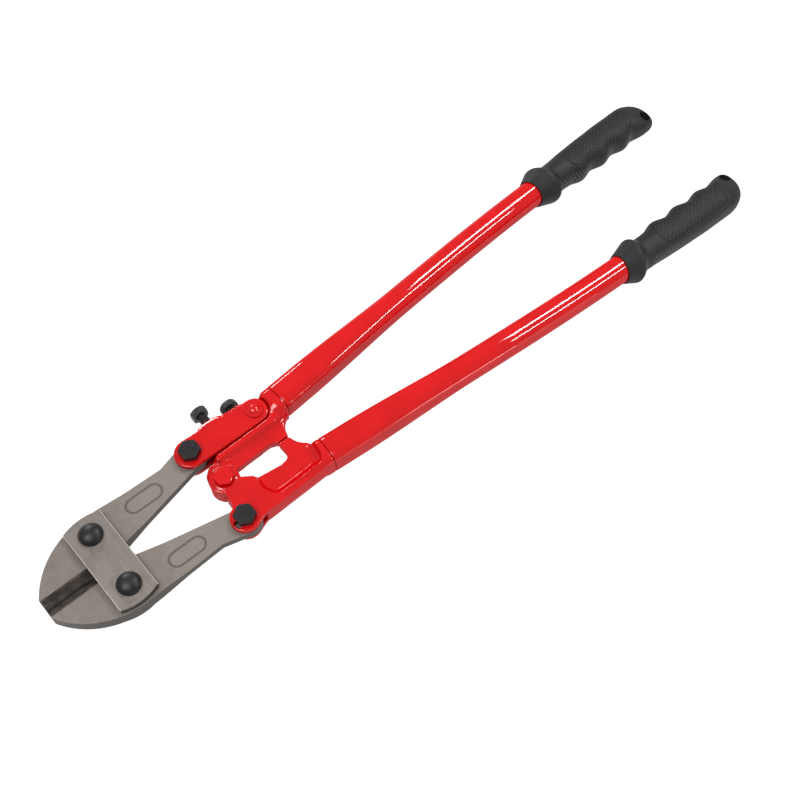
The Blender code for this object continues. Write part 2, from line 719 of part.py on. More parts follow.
cut(upper_casting, upright(0.0, 0.0, -2 * CAST_HALF, 2 * CAST_HALF, PIVOT_SHANK_R + RUN_CLEAR))
cut(upper_casting, upright(
    LINK_RIVET_X, LINK_RIVET_Y, -2 * CAST_HALF, 2 * CAST_HALF, RIVET_SHANK_R + RUN_CLEAR))

link_room = arc(LINK_RIVET_X, LINK_RIVET_Y, LINK_RIVET_R + KNUCKLE_CLEAR, 0, 345)
for face in (1, -1):
    shallow, deep = sorted((face * (TONGUE_HALF + FACE_GAP / 2), face * 2 * CAST_HALF))
    cut(upper_casting, slab(link_room, shallow, deep))


# ---------------------------------------------------------------- adjusting link
link_angle = math.degrees(math.atan2(LINK_RIVET_Y - TAIL_PIVOT_Y, LINK_RIVET_X - TAIL_PIVOT_X))


def link_outline():
    """Two round ends and straight edges between them."""
    tail = arc(TAIL_PIVOT_X, TAIL_PIVOT_Y, LINK_TAIL_R, 90 + link_angle, 270 + link_angle)
    rivet = arc(LINK_RIVET_X, LINK_RIVET_Y, LINK_RIVET_R, -90 + link_angle, 90 + link_angle)
    return tail + rivet


def build_link_plate(name, face):
    """One of the two plates that carry the upper blade's tail."""
    low, high = sorted((face * FORK_HALF, face * LINK_OUT))
    plate = add_part(name, slab(link_outline(), low, high), RED_PAINT)
    for x, y, radius in (
            (TAIL_PIVOT_X, TAIL_PIVOT_Y, TAIL_SHANK_R), (LINK_RIVET_X, LINK_RIVET_Y, RIVET_SHANK_R)):
        cut(plate, upright(x, y, -2 * LINK_OUT, 2 * LINK_OUT, radius + RUN_CLEAR))
    return plate


front_link_plate = build_link_plate("front_link_plate", 1)
rear_link_plate = build_link_plate("rear_link_plate", -1)



def link_edge(x):
    """Outer edge of the link plates at a given x."""
    lean = math.radians(90 + link_angle)
    start = Vector((TAIL_PIVOT_X, TAIL_PIVOT_Y)) + LINK_TAIL_R * Vector((math.cos(lean), math.sin(lean)))
    end = Vector((LINK_RIVET_X, LINK_RIVET_Y)) + LINK_RIVET_R * Vector((math.cos(lean), math.sin(lean)))
    return start.y + (end.y - start.y) * (x - start.x) / (end.x - start.x)


block_stem = [
    (BRIDGE_START_X, BLOCK_LOW_Y, 0.001),
    (0.0315, BLOCK_LOW_Y, 0.001),
    (0.0405, 0.0362, 0.001),
    (0.0405, link_edge(0.0405) + 2 * FACE_GAP, 0.0),
    (BRIDGE_START_X, link_edge(BRIDGE_START_X) + 2 * FACE_GAP, 0.0),
]
link_block = add_part("link_block", slab(block_stem, -TONGUE_HALF, TONGUE_HALF), RED_PAINT)
bridge = [
    (BRIDGE_START_X, link_edge(BRIDGE_START_X) + FACE_GAP, 0.0),
    (LOCK_STEP_X, link_edge(LOCK_STEP_X) + FACE_GAP, 0.0),
    (LOCK_STEP_X, link_edge(LOCK_STEP_X) + LOCK_STEP_HIGH, 0.0006),
    (BRIDGE_END_X + 0.0010, link_edge(BRIDGE_END_X) + LOCK_STEP_HIGH, 0.0006),
    (BRIDGE_END_X, BRIDGE_TOP_Y - 0.0004, 0.001),
    (BRIDGE_START_X, BRIDGE_TOP_Y, 0.001),
]
join(link_block, slab(bridge, -LINK_OUT + FACE_GAP, LINK_OUT - FACE_GAP))


def screw_bar(x, low_y, high_y, radius, sides=ROUND_SIDES):
    """A bar along Y at the mid plane."""
    return round_bar((x, low_y, MID_Z), (x, high_y, MID_Z), radius, sides=sides)


cut(link_block, screw_bar(ADJUST_X, 0.0300, 0.0500, ADJUST_SHANK_R + RUN_CLEAR))
cut(link_block, screw_bar(LOCK_X, 0.0300, 0.0500, LOCK_SHANK_R + RUN_CLEAR))

rivet_foot = LINK_OUT + FACE_GAP
rivet_profile = [
    *dome(RIVET_DOME_R, rivet_foot + RIVET_FLANGE_HIGH, RIVET_DOME_HIGH),
    (RIVET_FLANGE_R, rivet_foot + RIVET_FLANGE_HIGH),
    (RIVET_FLANGE_R, rivet_foot),
    (RIVET_SHANK_R, rivet_foot),
]
mirrored_profile = [(radius, -height) for radius, height in reversed(rivet_profile)]
link_rivet = turned(
    "link_rivet", rivet_profile + mirrored_profile, LINK_RIVET_X, LINK_RIVET_Y, RED_PAINT)

adjusting_screw = add_part(
    "adjusting_screw",
    screw_bar(ADJUST_X, TONGUE_TOP_Y + FACE_GAP, ADJUST_HEAD_Y + ADJUST_HEAD_HIGH / 2, ADJUST_SHANK_R),
    BLACK_OXIDE)
join(adjusting_screw, round_bar(
    (ADJUST_X, ADJUST_HEAD_Y, MID_Z), (ADJUST_X, ADJUST_HEAD_Y + ADJUST_HEAD_HIGH, MID_Z),
    ADJUST_FLATS / math.sqrt(3), sides=6))
lock_screw = add_part(
    "lock_screw",
    screw_bar(LOCK_X, TONGUE_TOP_Y + 0.0010, LOCK_HEAD_Y + LOCK_HEAD_HIGH / 2, LOCK_SHANK_R),
    BLACK_OXIDE)
join(lock_screw, screw_bar(LOCK_X, LOCK_HEAD_Y, LOCK_HEAD_Y + LOCK_HEAD_HIGH, LOCK_HEAD_R))


# ---------------------------------------------------------------- tubes and grips
def build_tube(name, side):
    """A hollow tube, swaged behind the casting and gently bent."""
    outer_stations = (
        [SOCKET_X + FACE_GAP] + spread(SWAGE_START_X, SWAGE_END_X, 5)
        + spread(SWAGE_END_X + 0.030, TUBE_END_X, 9))
    inner_stations = [SOCKET_X - 0.004] + outer_stations[1:-1] + [TUBE_END_X + 0.004]
    tube = add_part(name, path_tube(outer_stations, 0.0, side), RED_PAINT)
    cut(tube, path_tube(inner_stations, -TUBE_WALL, side))
    return tube


def grip_width(x, base, peak):
    """Half width of the inner side, with finger rests at an even pitch."""
    wave = math.cos(2 * math.pi * (x - FINGER_PEAK_X) / FINGER_PITCH)
    return base + peak * wave


def grip_rings():
    """Rings of the grip: x, outer and inner reach from the centre line, half height, lean."""
    neck_x = GRIP_START_X + COLLAR_X + 0.013
    rings = [
        (GRIP_START_X, TUBE_R + 0.0016, TUBE_R + 0.0016, TUBE_R + 0.0020, 0.4 * COLLAR_LEAN),
        (GRIP_START_X + COLLAR_X * 0.45, COLLAR_R - 0.0018, COLLAR_R - 0.0018, COLLAR_R - 0.0012, COLLAR_LEAN),
        (GRIP_START_X + COLLAR_X - 0.002, COLLAR_R, COLLAR_R, MID_Z, COLLAR_LEAN),
        (GRIP_START_X + COLLAR_X + 0.003, COLLAR_R, COLLAR_R, MID_Z, COLLAR_LEAN),
        (neck_x - 0.004, NECK_R + 0.0006, NECK_R + 0.0002, NECK_R + 0.0002, 0.5 * COLLAR_LEAN),
        (neck_x, NECK_R, NECK_R - 0.0004, NECK_R, 0.2 * COLLAR_LEAN),
    ]
    body_start = 0.3655
    body_end = 0.4385
    for x in spread(body_start, body_end, 18):
        along = (x - body_start) / (body_end - body_start)
        outer = NECK_R + (0.0157 - NECK_R) * along
        inner = grip_width(x, 0.0138 + 0.0012 * along, FINGER_DEPTH)
        rings.append((x, outer, inner, GRIP_HALF_HIGH, 0.0))
    outer_end = 0.0157
    for x, outer_share, inner, high in (
            (0.4450, 0.83, 0.0142, 0.0128),
            (0.4505, 0.50, 0.0146, 0.0114),
            (0.4550, 0.10, 0.0144, 0.0100),
            (0.4585, -0.32, 0.0124, 0.0082),
            (0.4602, -0.56, 0.0104, 0.0062)):
        rings.append((x, outer_end * outer_share, inner, high, 0.0))
    return rings


def build_grip(name, side):
    """A moulded sleeve lofted through its rings, bored for the tube and pierced to hang."""
    mesh = bpy.data.meshes.new(name)
    shape = bmesh.new()
    loops = []
    for x, outer, inner, high, lean in grip_rings():
        centre = path_at(x)
        middle = (outer - inner) / 2
        half = (outer + inner) / 2
        ring = []
        for index in range(GRIP_SIDES):
            angle = 2 * math.pi * index / GRIP_SIDES
            across = math.cos(angle)
            up = math.sin(angle)
            swell = (across ** 4 + up ** 4) ** -0.12
            offset = middle + half * min(1.0, abs(across) * swell) * math.copysign(1, across)
            ring.append(shape.verts.new((
                x - lean * across,
                (centre.y + offset) * side,
                MID_Z + high * min(1.0, abs(up) * swell) * math.copysign(1, up))))
        loops.append(ring)
    for first, second in zip(loops, loops[1:]):
        for index in range(GRIP_SIDES):
            after = (index + 1) % GRIP_SIDES
            shape.faces.new((first[index], first[after], second[after], second[index]))
    shape.faces.new(loops[0])
    shape.faces.new(loops[-1])
    bmesh.ops.recalc_face_normals(shape, faces=shape.faces)
    shape.to_mesh(mesh)
    shape.free()
    grip = add_part(name, mesh, GRIP_RUBBER)
    bore_stations = spread(GRIP_START_X - 0.012, TUBE_END_X + BORE_END_GAP, 6)
    cut(grip, path_tube(bore_stations, FACE_GAP, side))
    cut(grip, upright(HANG_X, side * HANG_Y, -0.03, 0.03, HANG_R))
    return grip


upper_tube = build_tube("upper_tube", UPPER)
lower_tube = build_tube("lower_tube", LOWER)
upper_grip = build_grip("upper_grip", UPPER)
lower_grip = build_grip("lower_grip", LOWER)


# ---------------------------------------------------------------- joint axes
def hang_on(name, position, pieces):
    """Parent the pieces of one moving body to an empty on its joint's axis."""
    axis = bpy.data.objects.new(name, None)
    parts.objects.link(axis)
    axis.location = position
    bpy.context.view_layer.update()
    for piece in pieces:
        piece.parent = axis
        piece.matrix_parent_inverse = axis.matrix_world.inverted()


hang_on("handle_pivot", (0.0, 0.0, MID_Z), [upper_casting, upper_tube, upper_grip])
hang_on("jaw_plate_pivot", (JAW_PIVOT_X, JAW_PIVOT_Y, MID_Z), jaw_pieces)
hang_on("upper_blade_tail", (TAIL_PIVOT_X, TAIL_PIVOT_Y, MID_Z), [upper_blade])
hang_on("lower_blade_tail", (TAIL_PIVOT_X, -TAIL_PIVOT_Y, MID_Z), [lower_blade])
hang_on("link_adjust", (LINK_RIVET_X, LINK_RIVET_Y, MID_Z), [
    front_link_plate, rear_link_plate, link_block, link_rivet,
    tail_bolts["upper"], tail_nuts["upper"]])
hang_on("adjusting_screw_axis", (ADJUST_X, BRIDGE_TOP_Y, MID_Z), [adjusting_screw])
hang_on("lock_screw_axis", (LOCK_X, BRIDGE_TOP_Y, MID_Z), [lock_screw])

for part in parts.objects:
    if part.type == "MESH" and not part.modifiers.get("turn"):
        smooth(part)
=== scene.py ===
import logging
import math
from dataclasses import dataclass
from enum import Enum
from typing import Callable, Optional, Sequence, Union

import bmesh
import bpy
from mathutils import Matrix, Vector


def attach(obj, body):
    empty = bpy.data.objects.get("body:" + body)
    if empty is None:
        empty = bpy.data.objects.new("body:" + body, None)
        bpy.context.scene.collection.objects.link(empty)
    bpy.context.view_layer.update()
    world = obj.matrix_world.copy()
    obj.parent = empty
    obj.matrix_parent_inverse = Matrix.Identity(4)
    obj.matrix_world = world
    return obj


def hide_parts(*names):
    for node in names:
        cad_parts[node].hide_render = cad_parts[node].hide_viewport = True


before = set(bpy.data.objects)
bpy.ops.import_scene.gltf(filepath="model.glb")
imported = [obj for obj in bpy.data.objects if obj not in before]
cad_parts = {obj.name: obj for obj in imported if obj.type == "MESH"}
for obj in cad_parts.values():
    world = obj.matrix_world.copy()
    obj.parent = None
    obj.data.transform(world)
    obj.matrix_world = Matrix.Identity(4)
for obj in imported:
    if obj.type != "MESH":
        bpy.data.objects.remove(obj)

LOG = logging.getLogger("bolt_cutters")
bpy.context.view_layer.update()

Corner = tuple[float, float, float]
Pair = tuple[float, float]
Tint = tuple[float, float, float]


class Side(Enum):
    """Which half of the tool a piece belongs to; the value is the sign of its y."""

    UPPER = 1
    LOWER = -1

    @property
    def word(self) -> str:
        """The side's name as it stands in piece names."""
        return self.name.lower()

    @property
    def handle(self) -> "Body":
        """The handle on this side."""
        return Body[f"{self.name}_HANDLE"]

    @property
    def blade(self) -> "Body":
        """The blade on this side."""
        return Body[f"{self.name}_BLADE"]


class Body(Enum):
    """The moving bodies that pieces ride on."""

    LOWER_HANDLE = "lower_handle"
    UPPER_HANDLE = "upper_handle"
    LOWER_BLADE = "lower_blade_body"
    UPPER_BLADE = "upper_blade_body"
    JAW_PLATES = "jaw_plates"
    LINK = "link"
    ADJUSTER = "adjuster"
    LOCKER = "locker"


class Slot(Enum):
    """The material slots of the record."""

    RED = "red_paint"
    STEEL = "blade_steel"
    BLACK = "black_oxide"
    RUBBER = "grip_rubber"


@dataclass(frozen=True)
class Layout:
    """Where the pivots and the layers of the stack lie, in metres.

    Heights are measured from the mid plane.
    """

    mid_z: float = 0.0160
    gap: float = 0.0003
    jaw: Pair = (-0.0900, 0.0220)
    tail: Pair = (-0.0059, 0.0311)
    rivet: Pair = (0.0468, 0.0294)
    oval: Pair = (-0.0484, 0.0249)
    jaw_half: float = 0.0052
    tail_half: float = 0.0030
    plate_in: float = 0.0055
    plate_out: float = 0.0097
    fork_half: float = 0.0035
    link_out: float = 0.0070
    cast_half: float = 0.0071
    web_half: float = 0.0030
    tube_path: tuple[Pair, Pair, Pair, Pair] = (
        (0.0640, 0.0273),
        (0.2640, 0.0449),
        (0.2850, 0.0478),
        (0.4350, 0.0508),
    )
    tube_root_r: float = 0.0117
    tube_r: float = 0.01035
    socket_x: float = 0.0650

    def squared(self, angle: float, share: float) -> Pair:
        """Point of the tube's section: round, or flattened and squarer towards its root.

        Args:
            angle: angle round the section.
            share: 1 for the root's section, 0 for a circle.

        Returns:
            The point across and up, for a radius of one.
        """
        across, up = math.cos(angle), math.sin(angle)
        power = 2.0 + 1.3 * share
        swell = (abs(across) ** power + abs(up) ** power) ** (-1.0 / power)
        return across * swell, up * swell * (1.0 - 0.09 * share)

    def on_path(self, x: float) -> Vector:
        """Point of the upper tube's centre line.

        Args:
            x: distance from the centre pivot along the tool.

        Returns:
            The point as a 2-D vector; past either end the line runs on straight.
        """
        first, second, third, last = (Vector(point) for point in self.tube_path)
        if x >= last.x:
            return last + (last - third) * ((x - last.x) / (last.x - third.x))
        if x <= first.x:
            return first + (second - first) * ((x - first.x) / (second.x - first.x))
        low, high = 0.0, 1.0
        for _ in range(30):
            share = (low + high) / 2
            point = (
                first * (1 - share) ** 3
                + second * 3 * share * (1 - share) ** 2
                + third * 3 * share ** 2 * (1 - share)
                + last * share ** 3
            )
            low, high = (share, high) if point.x < x else (low, share)
        return point


AT = Layout()


# ------------------------------------------------------------------ outlines
def arc(centre: Pair, radius: float, start: float, end: float, step: float = 5.0) -> list[Corner]:
    """Points along an arc, as corners with no fillet.

    Args:
        centre: centre of the arc.
        radius: radius of the arc.
        start: first angle in degrees.
        end: last angle in degrees.
        step: largest turn between two points, in degrees.

    Returns:
        Corners (x, y, 0).
    """
    count = max(2, math.ceil(abs(end - start) / step))
    angles = [math.radians(start + (end - start) * index / count) for index in range(count + 1)]
    return [(centre[0] + radius * math.cos(a), centre[1] + radius * math.sin(a), 0.0) for a in angles]


def stadium(centre: Pair, length: float, width: float) -> list[Corner]:
    """Outline of a slot along X with round ends.

    Args:
        centre: middle of the slot.
        length: length over the round ends.
        width: width of the slot.

    Returns:
        Its corners.
    """
    half = (length - width) / 2
    right = arc((centre[0] + half, centre[1]), width / 2, -90, 90, 10)
    left = arc((centre[0] - half, centre[1]), width / 2, 90, 270, 10)
    return right + left


def rounded(corners: Sequence[Corner], step: float = 8.0, fixed: int = 0) -> list[Vector]:
    """Fillet each corner of an outline with its own radius.

    Args:
        corners: corners (x, y, fillet radius) in order round the outline.
        step: largest turn between two points of a fillet, in degrees.
        fixed: number of steps in every fillet; 0 lets the step decide.

    Returns:
        The points of the filleted outline.
    """
    outline: list[Vector] = []
    for index, (x, y, radius) in enumerate(corners):
        corner = Vector((x, y))
        if radius <= 0.0:
            outline.append(corner)
            continue
        before = (Vector(corners[index - 1][:2]) - corner).normalized()
        after = (Vector(corners[(index + 1) % len(corners)][:2]) - corner).normalized()
        opening = before.angle(after)
        centre = corner + (before + after).normalized() * radius / math.sin(opening / 2)
        start = corner + before * radius / math.tan(opening / 2) - centre
        turn = (math.pi - opening) * (-1 if before.cross(after) > 0 else 1)
        count = fixed or max(2, math.ceil(math.degrees(abs(turn)) / step))
        for number in range(count + 1):
            outline.append(centre + Matrix.Rotation(turn * number / count, 2) @ start)
    return outline


def blend(edge_low: float, edge_high: float, value: float) -> float:
    """Smooth step from 0 at one value to 1 at another."""
    share = min(1.0, max(0.0, (value - edge_low) / (edge_high - edge_low)))
    return share * share * (3 - 2 * share)


def hump(centre: float, half_width: float, value: float) -> float:
    """Smooth bump that is 1 at its centre and 0 beyond its half width."""
    return blend(half_width, 0.0, abs(value - centre)) if abs(value - centre) < half_width else 0.0


# ------------------------------------------------------------------ modelling
class Form:
    """A mesh in the making, in the tool's own frame.

    Args:
        side: the half of the tool it is drawn for; y is mirrored for the lower one.
    """

    def __init__(self, side: Side = Side.UPPER) -> None:
        """Start with an empty mesh."""
        self.mesh = bmesh.new()
        self.sign = side.value

    def slab(self, corners: Sequence[Corner], low: float, high: float) -> "Form":
        """Add a flat plate between two heights from the mid plane.

        Args:
            corners: outline corners with their fillets.
            low: lower face.
            high: upper face.

        Returns:
            The form itself.
        """
        return self.drafted(corners, corners, low, high)

    def drafted(
        self, start: Sequence[Corner], end: Sequence[Corner], low: float, high: float
    ) -> "Form":
        """Add a plate whose walls lean from one outline to another.

        Args:
            start: corners of the outline at the first height.
            end: as many corners for the outline at the second height.
            low: height of the first face from the mid plane.
            high: height of the second face.

        Returns:
            The form itself.
        """
        foot = [
            self.mesh.verts.new((point.x, point.y * self.sign, AT.mid_z + low))
            for point in rounded(start, fixed=5)
        ]
        face = self.mesh.faces.new(foot)
        made = bmesh.ops.extrude_face_region(self.mesh, geom=[face])["geom"]
        top = {part for part in made if isinstance(part, bmesh.types.BMVert)}
        for vert, point in zip(foot, rounded(end, fixed=5)):
            for edge in vert.link_edges:
                other = edge.other_vert(vert)
                if other in top:
                    other.co = (point.x, point.y * self.sign, AT.mid_z + high)
        return self

    def wedge(self, corners: Sequence[Corner], low: float, high: float, along: str) -> "Form":
        """Add a prism whose outline is a section, with heights from the mid plane.

        Args:
            corners: (position, height, fillet) round the section.
            low: where the prism starts along its length.
            high: where it ends.
            along: "x" or "y", the direction of its length.

        Returns:
            The form itself.
        """
        verts = []
        for point in rounded(corners):
            place = (low, point.x * self.sign, point.y) if along == "x" else (point.x, low, point.y)
            verts.append(self.mesh.verts.new((place[0], place[1], AT.mid_z + place[2])))
        face = self.mesh.faces.new(verts)
        made = bmesh.ops.extrude_face_region(self.mesh, geom=[face])["geom"]
        far = [part for part in made if isinstance(part, bmesh.types.BMVert)]
        span = high - low
        step = (span, 0.0, 0.0) if along == "x" else (0.0, span, 0.0)
        bmesh.ops.translate(self.mesh, verts=far, vec=step)
        return self

    def bar(
        self,
        start: Vector,
        end: Vector,
        radius: float,
        end_radius: Optional[float] = None,
        sides: int = 64,
    ) -> "Form":
        """Add a round bar or cone between two points.

        Args:
            start: centre of the first end.
            end: centre of the second end.
            radius: radius at the first end.
            end_radius: radius at the second end; the same where it is left out.
            sides: number of sides of its section.

        Returns:
            The form itself.
        """
        axis = Vector(end) - Vector(start)
        turn = axis.to_track_quat("Z", "Y").to_matrix().to_4x4()
        place = Matrix.Translation((Vector(start) + Vector(end)) / 2) @ turn
        bmesh.ops.create_cone(
            self.mesh,
            cap_ends=True,
            segments=sides,
            radius1=radius,
            radius2=radius if end_radius is None else end_radius,
            depth=axis.length,
            matrix=place,
        )
        return self

    def post(self, centre: Pair, low: float, high: float, radius: float) -> "Form":
        """Add an upright round bar between two heights from the mid plane."""
        x, y = centre[0], centre[1] * self.sign
        return self.bar(Vector((x, y, AT.mid_z + low)), Vector((x, y, AT.mid_z + high)), radius)

    def turned(self, profile: Sequence[Pair], place: Matrix, sides: int = 64) -> "Form":
        """Add a lathe-turned shape.

        Args:
            profile: (radius, height) from one end of the axis to the other.
            place: where the axis' foot stands and how it is turned.
            sides: number of steps round the axis.

        Returns:
            The form itself.
        """
        line = [self.mesh.verts.new(place @ Vector((radius, 0.0, height))) for radius, height in profile]
        edges = [self.mesh.edges.new(pair) for pair in zip(line, line[1:])]
        bmesh.ops.spin(
            self.mesh,
            geom=line + edges,
            cent=place.translation,
            axis=place.to_3x3() @ Vector((0.0, 0.0, 1.0)),
            angle=math.tau,
            steps=sides,
            use_merge=True,
        )
        bmesh.ops.remove_doubles(self.mesh, verts=self.mesh.verts, dist=1e-7)
        return self

    def loft(self, sides: int, rings: int, place: Callable[[int, float], Vector]) -> "Form":
        """Add a closed skin through rings.

        Args:
            sides: points round each ring.
            rings: number of rings.
            place: gives the point of ring number and angle.

        Returns:
            The form itself.
        """
        around = self.mesh.verts.layers.int.get("around") or self.mesh.verts.layers.int.new("around")
        made = bmesh.ops.create_circle(self.mesh, cap_ends=True, segments=sides, radius=1.0)["verts"]
        ordered = sorted(made, key=lambda vert: math.atan2(vert.co.y, vert.co.x))
        for index, vert in enumerate(ordered):
            vert[around] = index
        edges = list({edge for vert in made for edge in vert.link_edges})
        verts = ordered
        for ring in range(rings):
            if ring:
                grown = bmesh.ops.extrude_edge_only(self.mesh, edges=edges)["geom"]
                verts = [part for part in grown if isinstance(part, bmesh.types.BMVert)]
                edges = [
                    part
                    for part in grown
                    if isinstance(part, bmesh.types.BMEdge) and all(end in verts for end in part.verts)
                ]
            for vert in verts:
                vert.co = place(ring, math.tau * vert[around] / sides)
        bmesh.ops.holes_fill(self.mesh, edges=edges, sides=0)
        return self

    def hexagon(self, flats: float, height: float, place: Matrix, crown: float = 0.0) -> "Form":
        """Add a hexagon head or nut with turned chamfers.

        Args:
            flats: size across the flats.
            height: height of the head.
            place: foot of the head and its direction.
            crown: height of the slightly raised middle.

        Returns:
            The form itself.
        """
        flat, rim, chamfer = flats / 2, 0.97, 32.0

        def reach(angle: float) -> float:
            """Distance from the axis to the hexagon's side."""
            turn = (math.degrees(angle) - 90.0) % 60.0 - 30.0
            return flat / math.cos(math.radians(turn))

        def fall(radius: float) -> float:
            """How far the chamfer has come down at a radius."""
            return max(0.0, radius - flat * rim) * math.tan(math.radians(chamfer))

        def point(ring: int, angle: float) -> Vector:
            """Point of a ring, from the foot to the crown.

            Args:
                ring: number of the ring.
                angle: angle round it.

            Returns:
                The point.
            """
            edge = reach(angle)
            rows = (
                (flat * 0.90, 0.0),
                (flat * 0.96, 0.0),
                (edge, fall(edge) * 0.45),
                (edge, height - fall(edge)),
                (min(edge, flat * rim), height),
                (flat * 0.86, height + crown * 0.3),
                (flat * 0.45, height + crown),
                (flat * 0.10, height + crown),
            )
            radius, rise = rows[ring]
            return place @ Vector((radius * math.cos(angle), radius * math.sin(angle), rise))

        return self.loft(72, 8, point)

    def to_object(self, name: str) -> bpy.types.Object:
        """Turn the form into an object and free it.

        Args:
            name: name of the object and its mesh.

        Returns:
            The object.
        """
        bmesh.ops.recalc_face_normals(self.mesh, faces=self.mesh.faces)
        data = bpy.data.meshes.new(name)
        self.mesh.to_mesh(data)
        self.mesh.free()
        made = bpy.data.objects.new(name, data)
        bpy.context.scene.collection.objects.link(made)
        return made


def upright(x: float, y: float, height: float) -> Matrix:
    """Place for a head that stands on a height from the mid plane."""
    return Matrix.Translation((x, y, AT.mid_z + height))


def hanging(x: float, y: float, height: float) -> Matrix:
    """Place for a nut that hangs below a height from the mid plane."""
    return Matrix.Translation((x, y, AT.mid_z + height)) @ Matrix.Rotation(math.pi, 4, "X")


def settle(piece: bpy.types.Object) -> bpy.types.Object:
    """Apply a piece's modifiers into its mesh.

    Args:
        piece: the piece with its modifiers.

    Returns:
        The piece.
    """
    bpy.context.view_layer.update()
    graph = bpy.context.evaluated_depsgraph_get()
    data = bpy.data.meshes.new_from_object(piece.evaluated_get(graph))
    piece.modifiers.clear()
    old = piece.data
    piece.data = data
    data.name = piece.name
    bpy.data.meshes.remove(old)
    return piece


def carve(piece: bpy.types.Object, *tools: Form) -> bpy.types.Object:
    """Cut forms away from a piece.

    Args:
        piece: the piece that is cut.
        *tools: the forms to take away, in order; they are used up.

    Returns:
        The piece.
    """
    helpers = []
    for number, tool in enumerate(tools):
        helper = tool.to_object(f"{piece.name}_tool_{number}")
        helpers.append(helper)
        change = piece.modifiers.new(helper.name, "BOOLEAN")
        change.operation = "DIFFERENCE"
        change.solver = "EXACT"
        change.object = helper
    settle(piece)
    for helper in helpers:
        data = helper.data
        bpy.data.objects.remove(helper)
        bpy.data.meshes.remove(data)
    return piece


def one_skin(piece: bpy.types.Object, grain: float) -> bpy.types.Object:
    """Fuse overlapping solids of one piece into a single closed skin.

    Args:
        piece: overlapping solids in one mesh.
        grain: size of the skin's facets.

    Returns:
        The piece.
    """
    skin = piece.modifiers.new("one", "REMESH")
    skin.mode = "VOXEL"
    skin.voxel_size = grain
    skin.adaptivity = 0.0
    return settle(piece)


def relax(shape: bmesh.types.BMesh, verts: Sequence[bmesh.types.BMVert], passes: int) -> None:
    """Draw vertices halfway towards their neighbours.

    Args:
        shape: the mesh.
        verts: the vertices that may move.
        passes: how often they move.
    """
    for _ in range(passes):
        bmesh.ops.smooth_vert(
            shape, verts=verts, factor=0.5, use_axis_x=True, use_axis_y=True, use_axis_z=True
        )


@dataclass(frozen=True)
class SoftZone:
    """Stretch of a casting that is relaxed much more, and most of all in its middle."""

    start: float = 0.0520
    end: float = 0.0628
    half_y: float = 0.0335
    rounds: int = 12
    step: float = 0.0001
    passes: int = 3

    def relax(self, shape: bmesh.types.BMesh) -> None:
        """Relax the stretch in rounds, each a little shorter than the last.

        Args:
            shape: the casting's mesh.
        """
        for count in range(self.rounds):
            low, high = self.start + count * self.step, self.end - count * self.step
            region = [
                vert for vert in shape.verts if low < vert.co.x < high and abs(vert.co.y) < self.half_y
            ]
            relax(shape, region, self.passes)


def cast_skin(
    piece: bpy.types.Object, grain: float, passes: int, softer: Optional[SoftZone] = None
) -> bpy.types.Object:
    """Give a rough assembly of solids one skin with the soft corners of a casting.

    Args:
        piece: overlapping solids in one mesh.
        grain: size of the skin's facets.
        passes: how often the skin is relaxed.
        softer: stretch that is relaxed much more.

    Returns:
        The piece.
    """
    one_skin(piece, grain)
    shape = bmesh.new()
    shape.from_mesh(piece.data)
    relax(shape, shape.verts, passes)
    if softer:
        softer.relax(shape)
    shape.to_mesh(piece.data)
    shape.free()
    piece.data.shade_smooth()
    return piece


def ease(piece: bpy.types.Object, width: float, segments: int = 3, angle: float = 28.0) -> bpy.types.Object:
    """Break the sharp edges of a machined or forged piece.

    Args:
        piece: the piece with sharp edges.
        width: width of the broken edge.
        segments: steps across the broken edge.
        angle: smallest turn of an edge that is broken, in degrees.

    Returns:
        The piece.
    """
    piece.data.shade_smooth()
    bevel = piece.modifiers.new("ease", "BEVEL")
    bevel.width = width
    bevel.segments = segments
    bevel.limit_method = "ANGLE"
    bevel.angle_limit = math.radians(angle)
    bevel.harden_normals = True
    bevel.miter_outer = "MITER_ARC"
    return settle(piece)


def mark_walls(piece: bpy.types.Object) -> None:
    """Note on each face how far it turns away from the flat top, for the finishes to read; they paint shade
    on the walls and highlight on the broken edges from it.

    Args:
        piece: the piece whose faces are noted.
    """
    walls = piece.data.attributes.new("wall", "FLOAT", "FACE")
    for face, note in zip(piece.data.polygons, walls.data):
        note.value = 1.0 - abs(face.normal.z)


def hard_shade(piece: bpy.types.Object, angle: float = 30.0) -> bpy.types.Object:
    """Shade a piece smooth apart from its real corners.

    Args:
        piece: the piece.
        angle: smallest turn that counts as a corner, in degrees.

    Returns:
        The piece.
    """
    piece.data.shade_smooth()
    piece.data.set_sharp_from_angle(angle=math.radians(angle))
    return piece


def hand_over(
    piece: bpy.types.Object,
    material: bpy.types.Material,
    body: Body,
    slot: Slot,
    *nodes: str,
) -> bpy.types.Object:
    """Dress a finished piece and put it on its body in place of its plain solids.

    Args:
        piece: the finished piece.
        material: its finish.
        body: the moving body that it rides on.
        slot: its material slot in the record; not used.
        *nodes: the plain solids that it stands for.

    Returns:
        The piece.
    """
    piece.data.materials.clear()
    piece.data.materials.append(material)
    for face in piece.data.polygons:
        face.material_index = 0
    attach(piece, body.value)
    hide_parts(*nodes)
    LOG.info("%s rides on %s, %d faces", piece.name, body.value, len(piece.data.polygons))
    return piece


# ------------------------------------------------------------------ shader kit
Value = Union["Wire", float, tuple]


